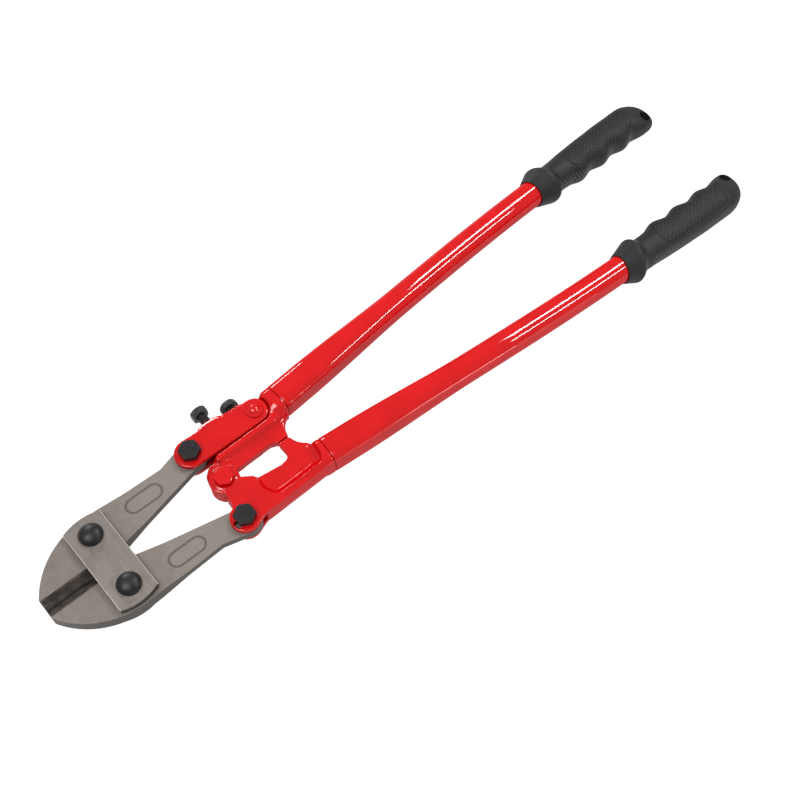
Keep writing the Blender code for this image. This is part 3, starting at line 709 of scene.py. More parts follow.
class Wire:
    """A shader output that takes part in arithmetic."""

    def __init__(self, graph: "Graph", socket: bpy.types.NodeSocket) -> None:
        """Keep the socket and the graph that new nodes go into."""
        self.graph = graph
        self.socket = socket

    def __add__(self, other: Value) -> "Wire":
        """Sum."""
        return self.graph.math("ADD", self, other)

    def __radd__(self, other: Value) -> "Wire":
        """Sum, from the right."""
        return self.graph.math("ADD", other, self)

    def __sub__(self, other: Value) -> "Wire":
        """Difference."""
        return self.graph.math("SUBTRACT", self, other)

    def __rsub__(self, other: Value) -> "Wire":
        """Difference, from the right."""
        return self.graph.math("SUBTRACT", other, self)

    def __mul__(self, other: Value) -> "Wire":
        """Product."""
        return self.graph.math("MULTIPLY", self, other)

    def __rmul__(self, other: Value) -> "Wire":
        """Product, from the right."""
        return self.graph.math("MULTIPLY", other, self)

    def __gt__(self, other: Value) -> "Wire":
        """1 where greater."""
        return self.graph.math("GREATER_THAN", self, other)

    def __lt__(self, other: Value) -> "Wire":
        """1 where less."""
        return self.graph.math("LESS_THAN", self, other)

    def __abs__(self) -> "Wire":
        """Absolute value."""
        return self.graph.math("ABSOLUTE", self)


class Graph:
    """A material's node tree, built through short calls.

    Args:
        name: name of the material.
    """

    def __init__(self, name: str) -> None:
        """Start from a new material's own shader."""
        self.material = bpy.data.materials.new(name)
        self.material.use_nodes = True
        self.tree = self.material.node_tree
        self.shader = self.tree.nodes["Principled BSDF"]

    def node(
        self,
        kind: str,
        inputs: Optional[dict[Union[str, int], Value]] = None,
        out: Union[str, int] = 0,
        **settings: object,
    ) -> Wire:
        """Add a node.

        Args:
            kind: the node's type.
            inputs: values or links of its sockets, by name or number.
            out: the output that is returned.
            **settings: properties set before the sockets.

        Returns:
            The chosen output.
        """
        made = self.tree.nodes.new(kind)
        for key, value in settings.items():
            setattr(made, key, value)
        for key, value in (inputs or {}).items():
            if isinstance(value, Wire):
                self.tree.links.new(value.socket, made.inputs[key])
            else:
                made.inputs[key].default_value = value
        return Wire(self, made.outputs[out])

    def math(self, operation: str, *values: Value) -> Wire:
        """Add a Math node."""
        return self.node("ShaderNodeMath", dict(enumerate(values)), operation=operation)

    def place(self, scale: tuple[float, float, float] = (1.0, 1.0, 1.0)) -> Wire:
        """Object coordinates, stretched."""
        raw = self.node("ShaderNodeTexCoord", out="Object")
        return self.node("ShaderNodeMapping", {"Vector": raw, "Scale": scale})

    def axes(self) -> tuple[Wire, Wire, Wire]:
        """The three object coordinates in metres.

        Returns:
            x, y and z.
        """
        raw = self.node("ShaderNodeTexCoord", out="Object")
        parts = [self.node("ShaderNodeSeparateXYZ", {0: raw}, out=index) for index in range(3)]
        return parts[0], parts[1], parts[2]

    def attribute(self, name: str) -> Wire:
        """A value kept on the mesh."""
        return self.node("ShaderNodeAttribute", out="Fac", attribute_name=name)

    def noise(
        self, scale: float, detail: float = 3.0, rough: float = 0.55, at: Optional[Wire] = None
    ) -> Wire:
        """Noise as a value round 0.5."""
        inputs = {"Vector": at or self.place(), "Scale": scale, "Detail": detail, "Roughness": rough}
        return self.node("ShaderNodeTexNoise", inputs, out="Fac")

    def cover(self, paint: Value, *coats: tuple[Value, Tint]) -> Value:
        """Lay tints over a colour.

        Args:
            paint: the colour below.
            *coats: each tint with its share, from the lowest up.

        Returns:
            The colour on top.
        """
        for share, tint in coats:
            paint = self.mix(share, paint, colour(*tint))
        return paint

    def far(self, first: Wire, second: Wire) -> Wire:
        """Distance of the point (first, second) from zero."""
        return self.math("SQRT", first * first + second * second)

    def soft(self, value: Wire, low: float, high: float) -> Wire:
        """Smooth 0 to 1 between two values.

        Args:
            value: the value that is judged.
            low: where it gives 0.
            high: where it gives 1.

        Returns:
            The share.
        """
        return self.node(
            "ShaderNodeMapRange",
            {"Value": value, "From Min": low, "From Max": high},
            interpolation_type="SMOOTHSTEP",
        )

    def mix(self, share: Value, first: Value, second: Value) -> Wire:
        """Mix two colours.

        Args:
            share: share of the second one.
            first: first colour.
            second: second colour.

        Returns:
            The mixed colour.
        """
        return self.node(
            "ShaderNodeMix", {0: share, 6: first, 7: second}, out=2, data_type="RGBA", clamp_factor=True
        )

    def bump(
        self, height: Wire, distance: float, strength: float = 1.0, normal: Optional[Wire] = None
    ) -> Wire:
        """Bump from a height.

        Args:
            height: the height.
            distance: what a height of one stands for, in metres.
            strength: how much of it shows.
            normal: a finer bump below this one.

        Returns:
            The bent normal.
        """
        inputs: dict[Union[str, int], Value] = {
            "Height": height,
            "Distance": distance,
            "Strength": strength,
        }
        if normal is not None:
            inputs["Normal"] = normal
        return self.node("ShaderNodeBump", inputs)

    def finish(self, **sockets: Value) -> bpy.types.Material:
        """Connect the shader's sockets.

        Args:
            **sockets: values or links, named as the sockets are with _ for a space.

        Returns:
            The material.
        """
        for key, value in sockets.items():
            socket = self.shader.inputs[key.replace("_", " ")]
            if isinstance(value, Wire):
                self.tree.links.new(value.socket, socket)
            else:
                socket.default_value = value
        return self.material


def colour(red: float, green: float, blue: float) -> tuple[float, float, float, float]:
    """A socket colour."""
    return (red, green, blue, 1.0)


# ------------------------------------------------------------------ finishes
@dataclass(frozen=True)
class RedEnamel:
    """Thick glossy red paint over a casting or a tube."""

    name: str
    lumps: float = 0.0
    face: Tint = (0.455, 0.0024, 0.0034)
    mottle_and_pore_shade: Tint = (0.380, 0.0008, 0.0014)
    # Darker red for random mottling, and for the painted shade in the pores.
    fleck: Tint = (0.46, 0.02, 0.02)
    porous_y: float = 0.0140

    def make(self) -> bpy.types.Material:
        """Build the material.

        Returns:
            The material.
        """
        graph = Graph(self.name)
        paint = graph.cover(
            colour(*self.face),
            (graph.soft(graph.noise(55.0, 3.0), 0.36, 0.66) * 0.55, self.mottle_and_pore_shade),
            (graph.soft(graph.noise(900.0, 2.0), 0.62, 0.80) * 0.12, self.fleck),
        )
        surface = graph.bump(graph.noise(260.0, 2.0), 0.00002, 0.08 + 0.7 * min(1.0, self.lumps))
        if self.lumps > 0.0:
            along, across, _ = graph.axes()
            porous = graph.soft(graph.far(along, across - self.porous_y), 0.0088, 0.0045)
            pores = graph.soft(graph.noise(520.0, 2.0, 0.5), 0.56, 0.44) * porous
            sand = graph.noise(330.0, 5.0, 0.6)
            surface = graph.bump(sand + pores * 2.0, 0.0006 * self.lumps, 0.8, surface)
            # Pores darkened in the colour: painted shade in the pits of the cast skin.
            paint = graph.cover(paint, (graph.soft(pores, 0.5, 1.0) * 0.35, self.mottle_and_pore_shade))
        return graph.finish(
            Base_Color=paint,
            Roughness=0.40 + graph.noise(160.0, 2.0) * 0.16,
            Coat_Weight=0.17,
            Coat_Roughness=0.03,
            Coat_IOR=2.6,
            Specular_IOR_Level=0.0,
            Normal=surface,
        )


@dataclass(frozen=True)
class ForgedSteel:
    """Tumbled tool steel with darker ground cutting faces."""

    name: str
    light: Tint = (0.158, 0.137, 0.121)
    dark: Tint = (0.108, 0.093, 0.082)
    bevel: Tint = (0.034, 0.027, 0.023)
    bevel_reach: float = 0.0069
    bevel_end: float = -0.0990
    groove_straight: float = 0.0080
    groove_r: float = 0.0054

    def make(self) -> bpy.types.Material:
        """Build the material.

        Returns:
            The material.
        """
        graph = Graph(self.name)
        along, across, _ = graph.axes()
        wall = graph.attribute("wall")
        grain = graph.noise(1500.0, 3.0, 0.75)
        # Painted highlight: the broken edges between the top and the walls are painted lighter.
        edge = graph.soft(wall, 0.02, 0.10) * graph.soft(wall, 0.80, 0.60)
        metal = graph.cover(
            colour(*self.light),
            (graph.soft(graph.noise(95.0, 5.0, 0.62), 0.34, 0.68) * 0.5, self.dark),
            (graph.soft(grain, 0.50, 0.72) * 0.60, (0.058, 0.050, 0.043)),
            (graph.soft(graph.noise(1300.0, 1.0), 0.60, 0.78) * 0.5, (0.27, 0.245, 0.225)),
            (graph.soft(along, -0.0850, -0.0480) * 0.35, (0.245, 0.210, 0.188)),
            (edge * 0.65, (0.36, 0.33, 0.30)),
        )
        stain = graph.noise(120.0, 3.0, 0.6, graph.place((1.0, 3.0, 1.0)))
        # Ground-face colour with random stains, and a painted shade line along the cutting seam where the
        # gap between the blades lies in shade.
        worn = graph.cover(
            colour(*self.bevel),
            (graph.soft(stain, 0.40, 0.62), (0.075, 0.060, 0.050)),
            (graph.soft(abs(across), 0.0009, 0.0003) * 0.8, (0.010, 0.009, 0.008)),
        )
        ground = (abs(across) < self.bevel_reach) * (along < self.bevel_end)
        # Painted shade: a dark line round the border of the oval recess, where its wall lies in shade.
        past = graph.math("MAXIMUM", abs(along - AT.oval[0]) - self.groove_straight, 0.0)
        away = graph.far(past, abs(across) - AT.oval[1])
        groove_shade = graph.soft(abs(away - self.groove_r), 0.0012, 0.0004)
        # Painted shade: the blade's walls, away from the ground faces, are painted darker.
        wall_shade = graph.soft(wall, 0.35, 0.90) * (1.0 - ground)
        metal = graph.cover(
            graph.mix(ground, metal, worn),
            (groove_shade * 0.62, (0.034, 0.028, 0.024)),
            (wall_shade * 0.80, (0.030, 0.023, 0.018)),
        )
        lines = graph.noise(900.0, 2.0, 0.5, graph.place((0.12, 1.0, 1.0)))
        surface = graph.bump(lines, 0.00003, 0.5, graph.bump(grain, 0.00005, 0.8))
        rough = 0.46 + grain * 0.14 - ground * 0.06
        return graph.finish(Base_Color=metal, Metallic=0.62, Roughness=rough, Normal=surface)


@dataclass(frozen=True)
class GroundPlate:
    """Ground and handled steel of the jaw plates."""

    name: str
    light: Tint = (0.190, 0.167, 0.150)
    dark: Tint = (0.152, 0.133, 0.118)

    def make(self) -> bpy.types.Material:
        """Build the material.

        Returns:
            The material.
        """
        graph = Graph(self.name)
        along, across, _ = graph.axes()
        off_middle = abs(along - AT.jaw[0])
        streak = graph.noise(420.0, 4.0, 0.6, graph.place((1.0, 0.07, 1.0)))
        grain = graph.noise(1500.0, 2.0, 0.7)
        rust = graph.soft(off_middle, 0.0020, 0.0) * graph.soft(graph.noise(260.0, 4.0), 0.42, 0.66)
        rust = rust * graph.soft(abs(across), 0.013, 0.009)
        # Painted highlight: a thin bright line along the plate's two straight edges.
        rim = graph.soft(off_middle, 0.0136, 0.0142)
        # Painted shade: the plate's walls are painted dark.
        metal = graph.cover(
            colour(*self.light),
            (graph.soft(streak, 0.35, 0.68) * 0.7, self.dark),
            (graph.soft(graph.noise(80.0, 4.0, 0.6), 0.45, 0.72) * 0.45, (0.108, 0.094, 0.083)),
            (rust * 0.35, (0.120, 0.085, 0.060)),
            (rim * 0.75, (0.62, 0.60, 0.57)),
            (graph.soft(graph.attribute("wall"), 0.75, 0.95) * 0.88, (0.034, 0.028, 0.023)),
            (graph.soft(grain, 0.52, 0.75) * 0.45, (0.080, 0.070, 0.062)),
        )
        rough = 0.38 + streak * 0.16 - rim * 0.12
        surface = graph.bump(streak, 0.00001, 0.5, graph.bump(grain, 0.00003, 0.6))
        return graph.finish(Base_Color=metal, Metallic=0.68, Roughness=rough, Normal=surface)


@dataclass(frozen=True)
class BlackOxide:
    """Oiled black fasteners with a few bare specks."""

    name: str
    base: Tint = (0.0045, 0.0045, 0.0058)
    worn: Tint = (0.0150, 0.0145, 0.0158)
    bare: Tint = (0.42, 0.42, 0.41)
    gloss: float = 0.33

    def make(self) -> bpy.types.Material:
        """Build the material.

        Returns:
            The material.
        """
        graph = Graph(self.name)
        cells = graph.node(
            "ShaderNodeTexVoronoi", {"Vector": graph.place(), "Scale": 420.0}, out="Distance"
        )
        speck = graph.soft(cells, 0.11, 0.05) * graph.soft(graph.noise(150.0, 2.0), 0.55, 0.66)
        metal = graph.cover(
            colour(*self.base),
            (graph.soft(graph.noise(240.0, 4.0, 0.6), 0.46, 0.74) * 0.6, self.worn),
            (speck * 0.7, self.bare),
        )
        return graph.finish(
            Base_Color=metal,
            Metallic=0.20,
            Roughness=self.gloss + graph.noise(520.0, 3.0) * 0.18 - speck * 0.10,
            Normal=graph.bump(graph.noise(650.0, 3.0), 0.00006, 0.7),
            Specular_IOR_Level=0.38,
        )


@dataclass(frozen=True)
class GripRubber:
    """Dark moulded rubber with a pitted pad and slanted ribs."""

    name: str
    side: Side
    base: Tint = (0.0050, 0.0050, 0.0051)
    pale: Tint = (0.0098, 0.0098, 0.0099)
    pad_start: float = 0.3676
    pad_end: float = 0.4362
    pad_half: float = 0.0112
    pad_corner: float = 0.0085
    pad_rise: float = 0.0055
    pitch: float = 0.0028
    rib_pitch: float = 0.0030

    def make(self) -> bpy.types.Material:
        """Build the material.

        Returns:
            The material.
        """
        graph = Graph(self.name)
        x, y, z = graph.axes()
        near, far = 0.38, 0.43
        slope = (AT.on_path(far).y - AT.on_path(near).y) / 0.05
        start = AT.on_path(near).y - slope * near
        local = y * self.side.value - (x * slope + start)
        rise = abs(z - AT.mid_z)
        on_face = rise > self.pad_rise
        middle = (self.pad_start + self.pad_end) / 2
        reach = (self.pad_end - self.pad_start) / 2 - self.pad_corner
        past = graph.math("MAXIMUM", abs(x - middle) - reach, 0.0)
        beside = graph.math("MAXIMUM", abs(local) - (self.pad_half - self.pad_corner), 0.0)
        away = graph.far(past, beside)
        pad = graph.soft(away, 0.0087, 0.0083) * on_face
        rim = graph.soft(abs(away - 0.0086), 0.0006, 0.0001) * on_face
        turn = math.pi / self.pitch * 0.7071
        first = abs(graph.math("SINE", (x + local) * turn))
        second = abs(graph.math("SINE", (x - local) * turn))
        net = graph.math("MINIMUM", first, second)
        # Painted light: the pits of the pad are painted dark as shade, and the raised diamonds lighter as
        # lit tops.
        holes = graph.soft(net, 0.30, 0.52) * pad
        raised = graph.soft(net, 0.30, 0.10) * pad
        zone = graph.soft(x, 0.3515, 0.3540) * graph.soft(x, 0.3800, 0.3770)
        zone = zone * graph.soft(rise, 0.0075, 0.0055)
        # Painted highlight: the slanted ribs on the side walls are painted lighter.
        ribs = graph.soft(graph.math("SINE", (x + z * 0.5) * (math.tau / self.rib_pitch)), 0.3, 0.7) * zone
        dust = graph.noise(1500.0, 3.0, 0.6)
        rubber = graph.cover(
            colour(*self.base),
            (graph.soft(graph.noise(70.0, 4.0), 0.40, 0.70) * 0.7, self.pale),
            (graph.soft(dust, 0.60, 0.78) * 0.35, (0.032, 0.032, 0.031)),
            (raised * 0.8, (0.017, 0.018, 0.018)),
            (holes * 0.95, (0.0008, 0.0008, 0.0009)),
            (rim * 0.5, (0.005, 0.005, 0.005)),
            (ribs * 0.60, (0.070, 0.070, 0.067)),
        )
        height = dust * 0.06 - holes - rim * 0.6 + ribs * 0.9
        return graph.finish(
            Base_Color=rubber,
            Roughness=0.50 + dust * 0.16,
            Normal=graph.bump(height, 0.0007, 1.0),
            Specular_IOR_Level=0.30,
        )


@dataclass(frozen=True)
class Finishes:
    """Every finish of the tool, built once."""

    cast: bpy.types.Material
    tube: bpy.types.Material
    steel: bpy.types.Material
    plate: bpy.types.Material
    black: bpy.types.Material
    screw: bpy.types.Material
    upper_rubber: bpy.types.Material
    lower_rubber: bpy.types.Material

    @staticmethod
    def build() -> "Finishes":
        """Make all materials.

        Returns:
            The finishes.
        """
        return Finishes(
            cast=RedEnamel("red_casting_enamel", lumps=0.8).make(),
            tube=RedEnamel("red_tube_enamel").make(),
            steel=ForgedSteel("forged_blade_steel").make(),
            plate=GroundPlate("ground_jaw_plate").make(),
            black=BlackOxide("black_oxide_fastener").make(),
            screw=BlackOxide(
                "worn_black_screw", (0.020, 0.020, 0.019), (0.080, 0.079, 0.072), gloss=0.34
            ).make(),
            upper_rubber=GripRubber("upper_grip_rubber", Side.UPPER).make(),
            lower_rubber=GripRubber("lower_grip_rubber", Side.LOWER).make(),
        )


# ------------------------------------------------------------------ jaw end
@dataclass
class Blade:
    """One forged blade: thick jaw, ground cutting face, thin tail and eye."""

    side: Side
    tip_x: float = -0.1393
    tip_half: float = 0.0075
    back_y: float = 0.0375
    arc_x: float = -0.0880
    bevel_wide: float = 0.0067
    bevel_end: float = -0.0990
    land: float = 0.0003
    inner: Pair = (-0.0755, 0.0056)
    inner_slope: float = 0.2286
    outer_y: float = 0.0357
    eye_r: float = 0.0110
    thin_start: float = -0.0770
    thin_end: float = -0.0560
    oval_floor: float = 0.0028
    oval_size: Pair = (0.0275, 0.0115)
    oval_draft: Pair = (-0.0026, 0.0030)
    oval_top: float = 0.0068
    over: float = 0.002
    far_x: float = 0.02
    far_y: float = 0.08
    edge: float = 0.00060

    def outline(self) -> list[Corner]:
        """Outline of the blade, drawn for the upper side.

        Returns:
            Its corners.
        """
        tail_x = AT.tail[0]
        reach = self.arc_x - self.tip_x
        drop = (reach ** 2 + self.tip_half ** 2 - self.back_y ** 2) / (2 * (self.back_y - self.tip_half))
        nose = math.degrees(math.atan2(self.tip_half + drop, self.tip_x - self.arc_x))
        eye_low = self.inner[1] + self.inner_slope * (tail_x - self.eye_r / 2 - self.inner[0])
        return [
            (self.tip_x, 0.00002, 0.0),
            *arc((self.arc_x, -drop), self.back_y + drop, nose, 88, 2.0),
            (tail_x - 2 * self.eye_r, self.outer_y, 0.006),
            *arc(AT.tail, self.eye_r, 125, -90),
            (tail_x - self.eye_r / 2, eye_low, 0.0),
            (*self.inner, 0.006),
            (self.bevel_end + 0.004, 0.0026, 0.002),
            (self.bevel_end, 0.00002, 0.0),
        ]

    def build(self, finishes: Finishes) -> None:
        """Model the blade and dress it.

        Args:
            finishes: the finishes of the tool.
        """
        forged = Form(self.side).slab(self.outline(), -AT.jaw_half, AT.jaw_half)
        piece = forged.to_object(f"blade_{self.side.word}")
        beyond = self.over
        length, width = self.oval_size
        tools = []
        for face in (1, -1):
            thin = [
                (self.thin_start, face * (AT.jaw_half + beyond), 0.0),
                (self.thin_start, face * AT.jaw_half, 0.0),
                (self.thin_end, face * AT.tail_half, 0.06),
                (self.far_x, face * AT.tail_half, 0.0),
                (self.far_x, face * (AT.jaw_half + beyond), 0.0),
            ]
            tools.append(Form().wedge(thin, -self.far_y, self.far_y, "y"))
            ground = [
                (-beyond, face * self.land, 0.0),
                (AT.gap / 2, face * self.land, 0.0),
                (self.bevel_wide, face * (AT.jaw_half + AT.gap), 0.0),
                (-beyond, face * (AT.jaw_half + AT.gap), 0.0),
            ]
            tools.append(Form(self.side).wedge(ground, self.tip_x - beyond, self.bevel_end + beyond, "x"))
            floor, rim = (stadium(AT.oval, length + draft, width + draft) for draft in self.oval_draft)
            tools.append(Form(self.side).drafted(floor, rim, face * self.oval_floor, face * self.oval_top))
        carve(piece, *tools)
        ease(piece, self.edge, 2, 20.0)
        mark_walls(piece)
        hand_over(piece, finishes.steel, self.side.blade, Slot.STEEL, f"{self.side.word}_blade")


@dataclass
class JawPlates:
    """Front and rear plate with the two jaw bolts and their nuts."""

    width: float = 0.0286
    half_length: float = 0.0362
    end_radius: float = 0.0379
    shank_r: float = 0.0050
    head_r: float = 0.0082
    head_high: float = 0.0050
    nut_flats: float = 0.0160
    dome_turn: float = 74.0
    dome_steps: int = 10
    edge: float = 0.00035

    def outline(self) -> list[Corner]:
        """Straight sides and shallow round ends.

        Returns:
            The corners of a plate.
        """
        lean = math.degrees(math.asin(self.width / 2 / self.end_radius))
        centre = self.half_length - self.end_radius
        x = AT.jaw[0]
        top = arc((x, centre), self.end_radius, 90 - lean, 90 + lean, 3)
        return top + arc((x, -centre), self.end_radius, 270 - lean, 270 + lean, 3)

    def bolt_profile(self) -> list[Pair]:
        """Dome, rim and shank of a jaw bolt.

        Returns:
            Radius and height of each point, from the crown down.
        """
        foot = AT.plate_out + AT.gap
        crown = foot + self.head_high
        ball = self.head_r / math.sin(math.radians(self.dome_turn))
        profile = [(0.0, crown)]
        for step in range(1, self.dome_steps + 1):
            turn = math.radians(self.dome_turn / self.dome_steps * step)
            profile.append((ball * math.sin(turn) * 0.985, crown - ball * (1 - math.cos(turn)) * 0.59))
        return profile + [
            (self.head_r * 0.995, foot + 0.0011),
            (self.head_r, foot + 0.0008),
            (self.head_r * 0.985, foot),
            (self.shank_r, foot),
            (self.shank_r, AT.gap - AT.mid_z),
            (0.0, AT.gap - AT.mid_z),
        ]

    def build(self, finishes: Finishes) -> None:
        """Model the plates, bolts and nuts.

        Args:
            finishes: the finishes of the tool.
        """
        for word, face in (("front", 1), ("rear", -1)):
            low, high = sorted((face * AT.plate_in, face * AT.plate_out))
            plate = Form().slab(self.outline(), low, high).to_object(f"plate_{word}")
            ease(plate, self.edge, 2)
            mark_walls(plate)
            hand_over(plate, finishes.plate, Body.JAW_PLATES, Slot.STEEL, f"{word}_jaw_plate")
        for side in Side:
            x, y = AT.jaw[0], AT.jaw[1] * side.value
            shape = Form().turned(self.bolt_profile(), upright(x, y, 0.0))
            bolt = shape.to_object(f"jaw_bolt_{side.word}")
            hard_shade(bolt, 35)
            hand_over(bolt, finishes.black, Body.JAW_PLATES, Slot.BLACK, f"{side.word}_jaw_bolt")
            nut_high = AT.mid_z - AT.plate_out - AT.gap
            nut = Form().hexagon(self.nut_flats, nut_high, hanging(x, y, -AT.plate_out - AT.gap))
            made = nut.to_object(f"jaw_nut_{side.word}")
            hard_shade(made, 25)
            hand_over(made, finishes.black, Body.JAW_PLATES, Slot.BLACK, f"{side.word}_jaw_nut")


# ------------------------------------------------------------------ fasteners
@dataclass
class HexBolt:
    """A hexagon head bolt through the tool, with its nut below."""

    word: str
    at: Pair
    body: Body
    foot: float
    nodes: tuple[str, str]
    flats: float = 0.0135
    head_high: float = 0.0052
    nut_high: float = 0.0062
    shank_r: float = 0.0040
    tail: float = 0.0010
    head_red: bool = False

    def build(self, finishes: Finishes) -> None:
        """Model bolt and nut.

        Args:
            finishes: the finishes of the tool.
        """
        x, y = self.at
        low = -self.foot - self.nut_high
        head = Form().hexagon(self.flats, self.head_high, upright(x, y, self.foot), crown=0.00012)
        head.bar(
            Vector((x, y, AT.mid_z + low - self.tail)),
            Vector((x, y, AT.mid_z + self.foot + self.head_high / 2)),
            self.shank_r,
            sides=40,
        )
        bolt = head.to_object(f"{self.word}_bolt")
        hard_shade(bolt, 25)
        finish, slot = (finishes.cast, Slot.RED) if self.head_red else (finishes.black, Slot.BLACK)
        hand_over(bolt, finish, self.body, slot, self.nodes[0])
        nut = Form().hexagon(self.flats, self.nut_high, hanging(x, y, -self.foot))
        made = nut.to_object(f"{self.word}_nut")
        hard_shade(made, 25)
        hand_over(made, finishes.black, self.body, Slot.BLACK, self.nodes[1])


@dataclass
class LinkScrew:
    """A screw along Y through the adjusting link."""

    word: str
    x: float
    tip_y: float
    head_y: float
    thread_r: float
    body: Body
    node: str
    flats: float = 0.0
    head_r: float = 0.0
    head_high: float = 0.0056
    pitch: float = 0.00125

    def build(self, finishes: Finishes) -> None:
        """Model threads and head.

        Args:
            finishes: the finishes of the tool.
        """
        lay = Matrix.Translation((self.x, 0.0, AT.mid_z)) @ Matrix.Rotation(-math.pi / 2, 4, "X")
        profile: list[Pair] = [(0.0, self.tip_y), (self.thread_r * 0.70, self.tip_y)]
        count = int((self.head_y - self.tip_y) / self.pitch)
        for index in range(count):
            start = self.tip_y + index * self.pitch + 0.0002
            profile.append((self.thread_r * 0.83, start))
            profile.append((self.thread_r, start + self.pitch * 0.40))
            profile.append((self.thread_r, start + self.pitch * 0.58))
        profile += [(self.thread_r * 0.83, self.head_y), (0.0, self.head_y + 0.0002)]
        form = Form().turned(profile, lay, 40)
        seat = lay @ Matrix.Translation((0.0, 0.0, self.head_y))
        if self.flats > 0.0:
            form.hexagon(self.flats, self.head_high, seat, crown=0.0001)
        else:
            rim = self.head_r
            cap = [
                (0.0, 0.0),
                (rim * 0.97, 0.0),
                (rim, 0.0003),
                (rim, self.head_high * 0.50),
                (rim * 0.97, self.head_high * 0.66),
                (rim * 0.86, self.head_high * 0.86),
                (rim * 0.66, self.head_high * 0.97),
                (0.0, self.head_high),
            ]
            form.turned(cap, seat, 56)
        piece = form.to_object(self.word)
        hard_shade(piece, 28)
        hand_over(piece, finishes.screw, self.body, Slot.BLACK, self.node)


# ------------------------------------------------------------------ castings
@dataclass
class Socket:
    """Cone, collar and spigot at the handle end of a casting."""

    side: Side
    collar: float = 0.0060
    cone: float = 0.0110
    cone_r: float = 0.0064
    spigot: float = 0.0100
    spigot_in: float = 0.0025

    def add_to(self, form: Form) -> None:
        """Add the three round shapes to a casting's form.

        Args:
            form: the casting's form.
        """
        seat = AT.on_path(AT.socket_x)
        ahead = (AT.on_path(AT.socket_x + 0.01) - seat).normalized()

        def station(distance: float) -> Vector:
            """Point of the handle's centre line at a distance past the seat."""
            point = seat + ahead * distance
            return Vector((point.x, point.y * self.side.value, AT.mid_z))

        rows = (
            (-self.collar - self.cone, self.cone_r),
            (-self.collar, AT.tube_root_r - 0.0003),
            (-self.collar + 0.0003, AT.tube_root_r),
            (0.0, AT.tube_root_r),
            (0.0, AT.tube_root_r - self.spigot_in),
            (self.spigot, AT.tube_root_r - self.spigot_in),
        )

        def point(ring: int, angle: float) -> Vector:
            """Point of a ring, from the cone's tip to the spigot's end.

            Args:
                ring: number of the ring.
                angle: angle round it.

            Returns:
                The point.
            """
            distance, reach = rows[ring]
            across, up = AT.squared(angle, 1.0)
            side = Vector((-ahead.y, ahead.x * self.side.value, 0.0))
            return station(distance) + side * (reach * across) + Vector((0.0, 0.0, reach * up))

        form.loft(64, len(rows), point)


@dataclass
class Casting:
    """What both handle roots share: knuckle and boss, stop, crotch, end and the grain of the skin."""

    knuckle_r: float = 0.0105
    knuckle_room: float = 0.0005
    boss_r: float = 0.0078
    boss_high: float = 0.0006
    stop_x: float = 0.0445
    crotch: Pair = (0.0680, 0.0)
    crotch_r: float = 0.0140
    end: float = AT.socket_x - 0.0030
    grain: float = 0.00040
    passes: int = 4


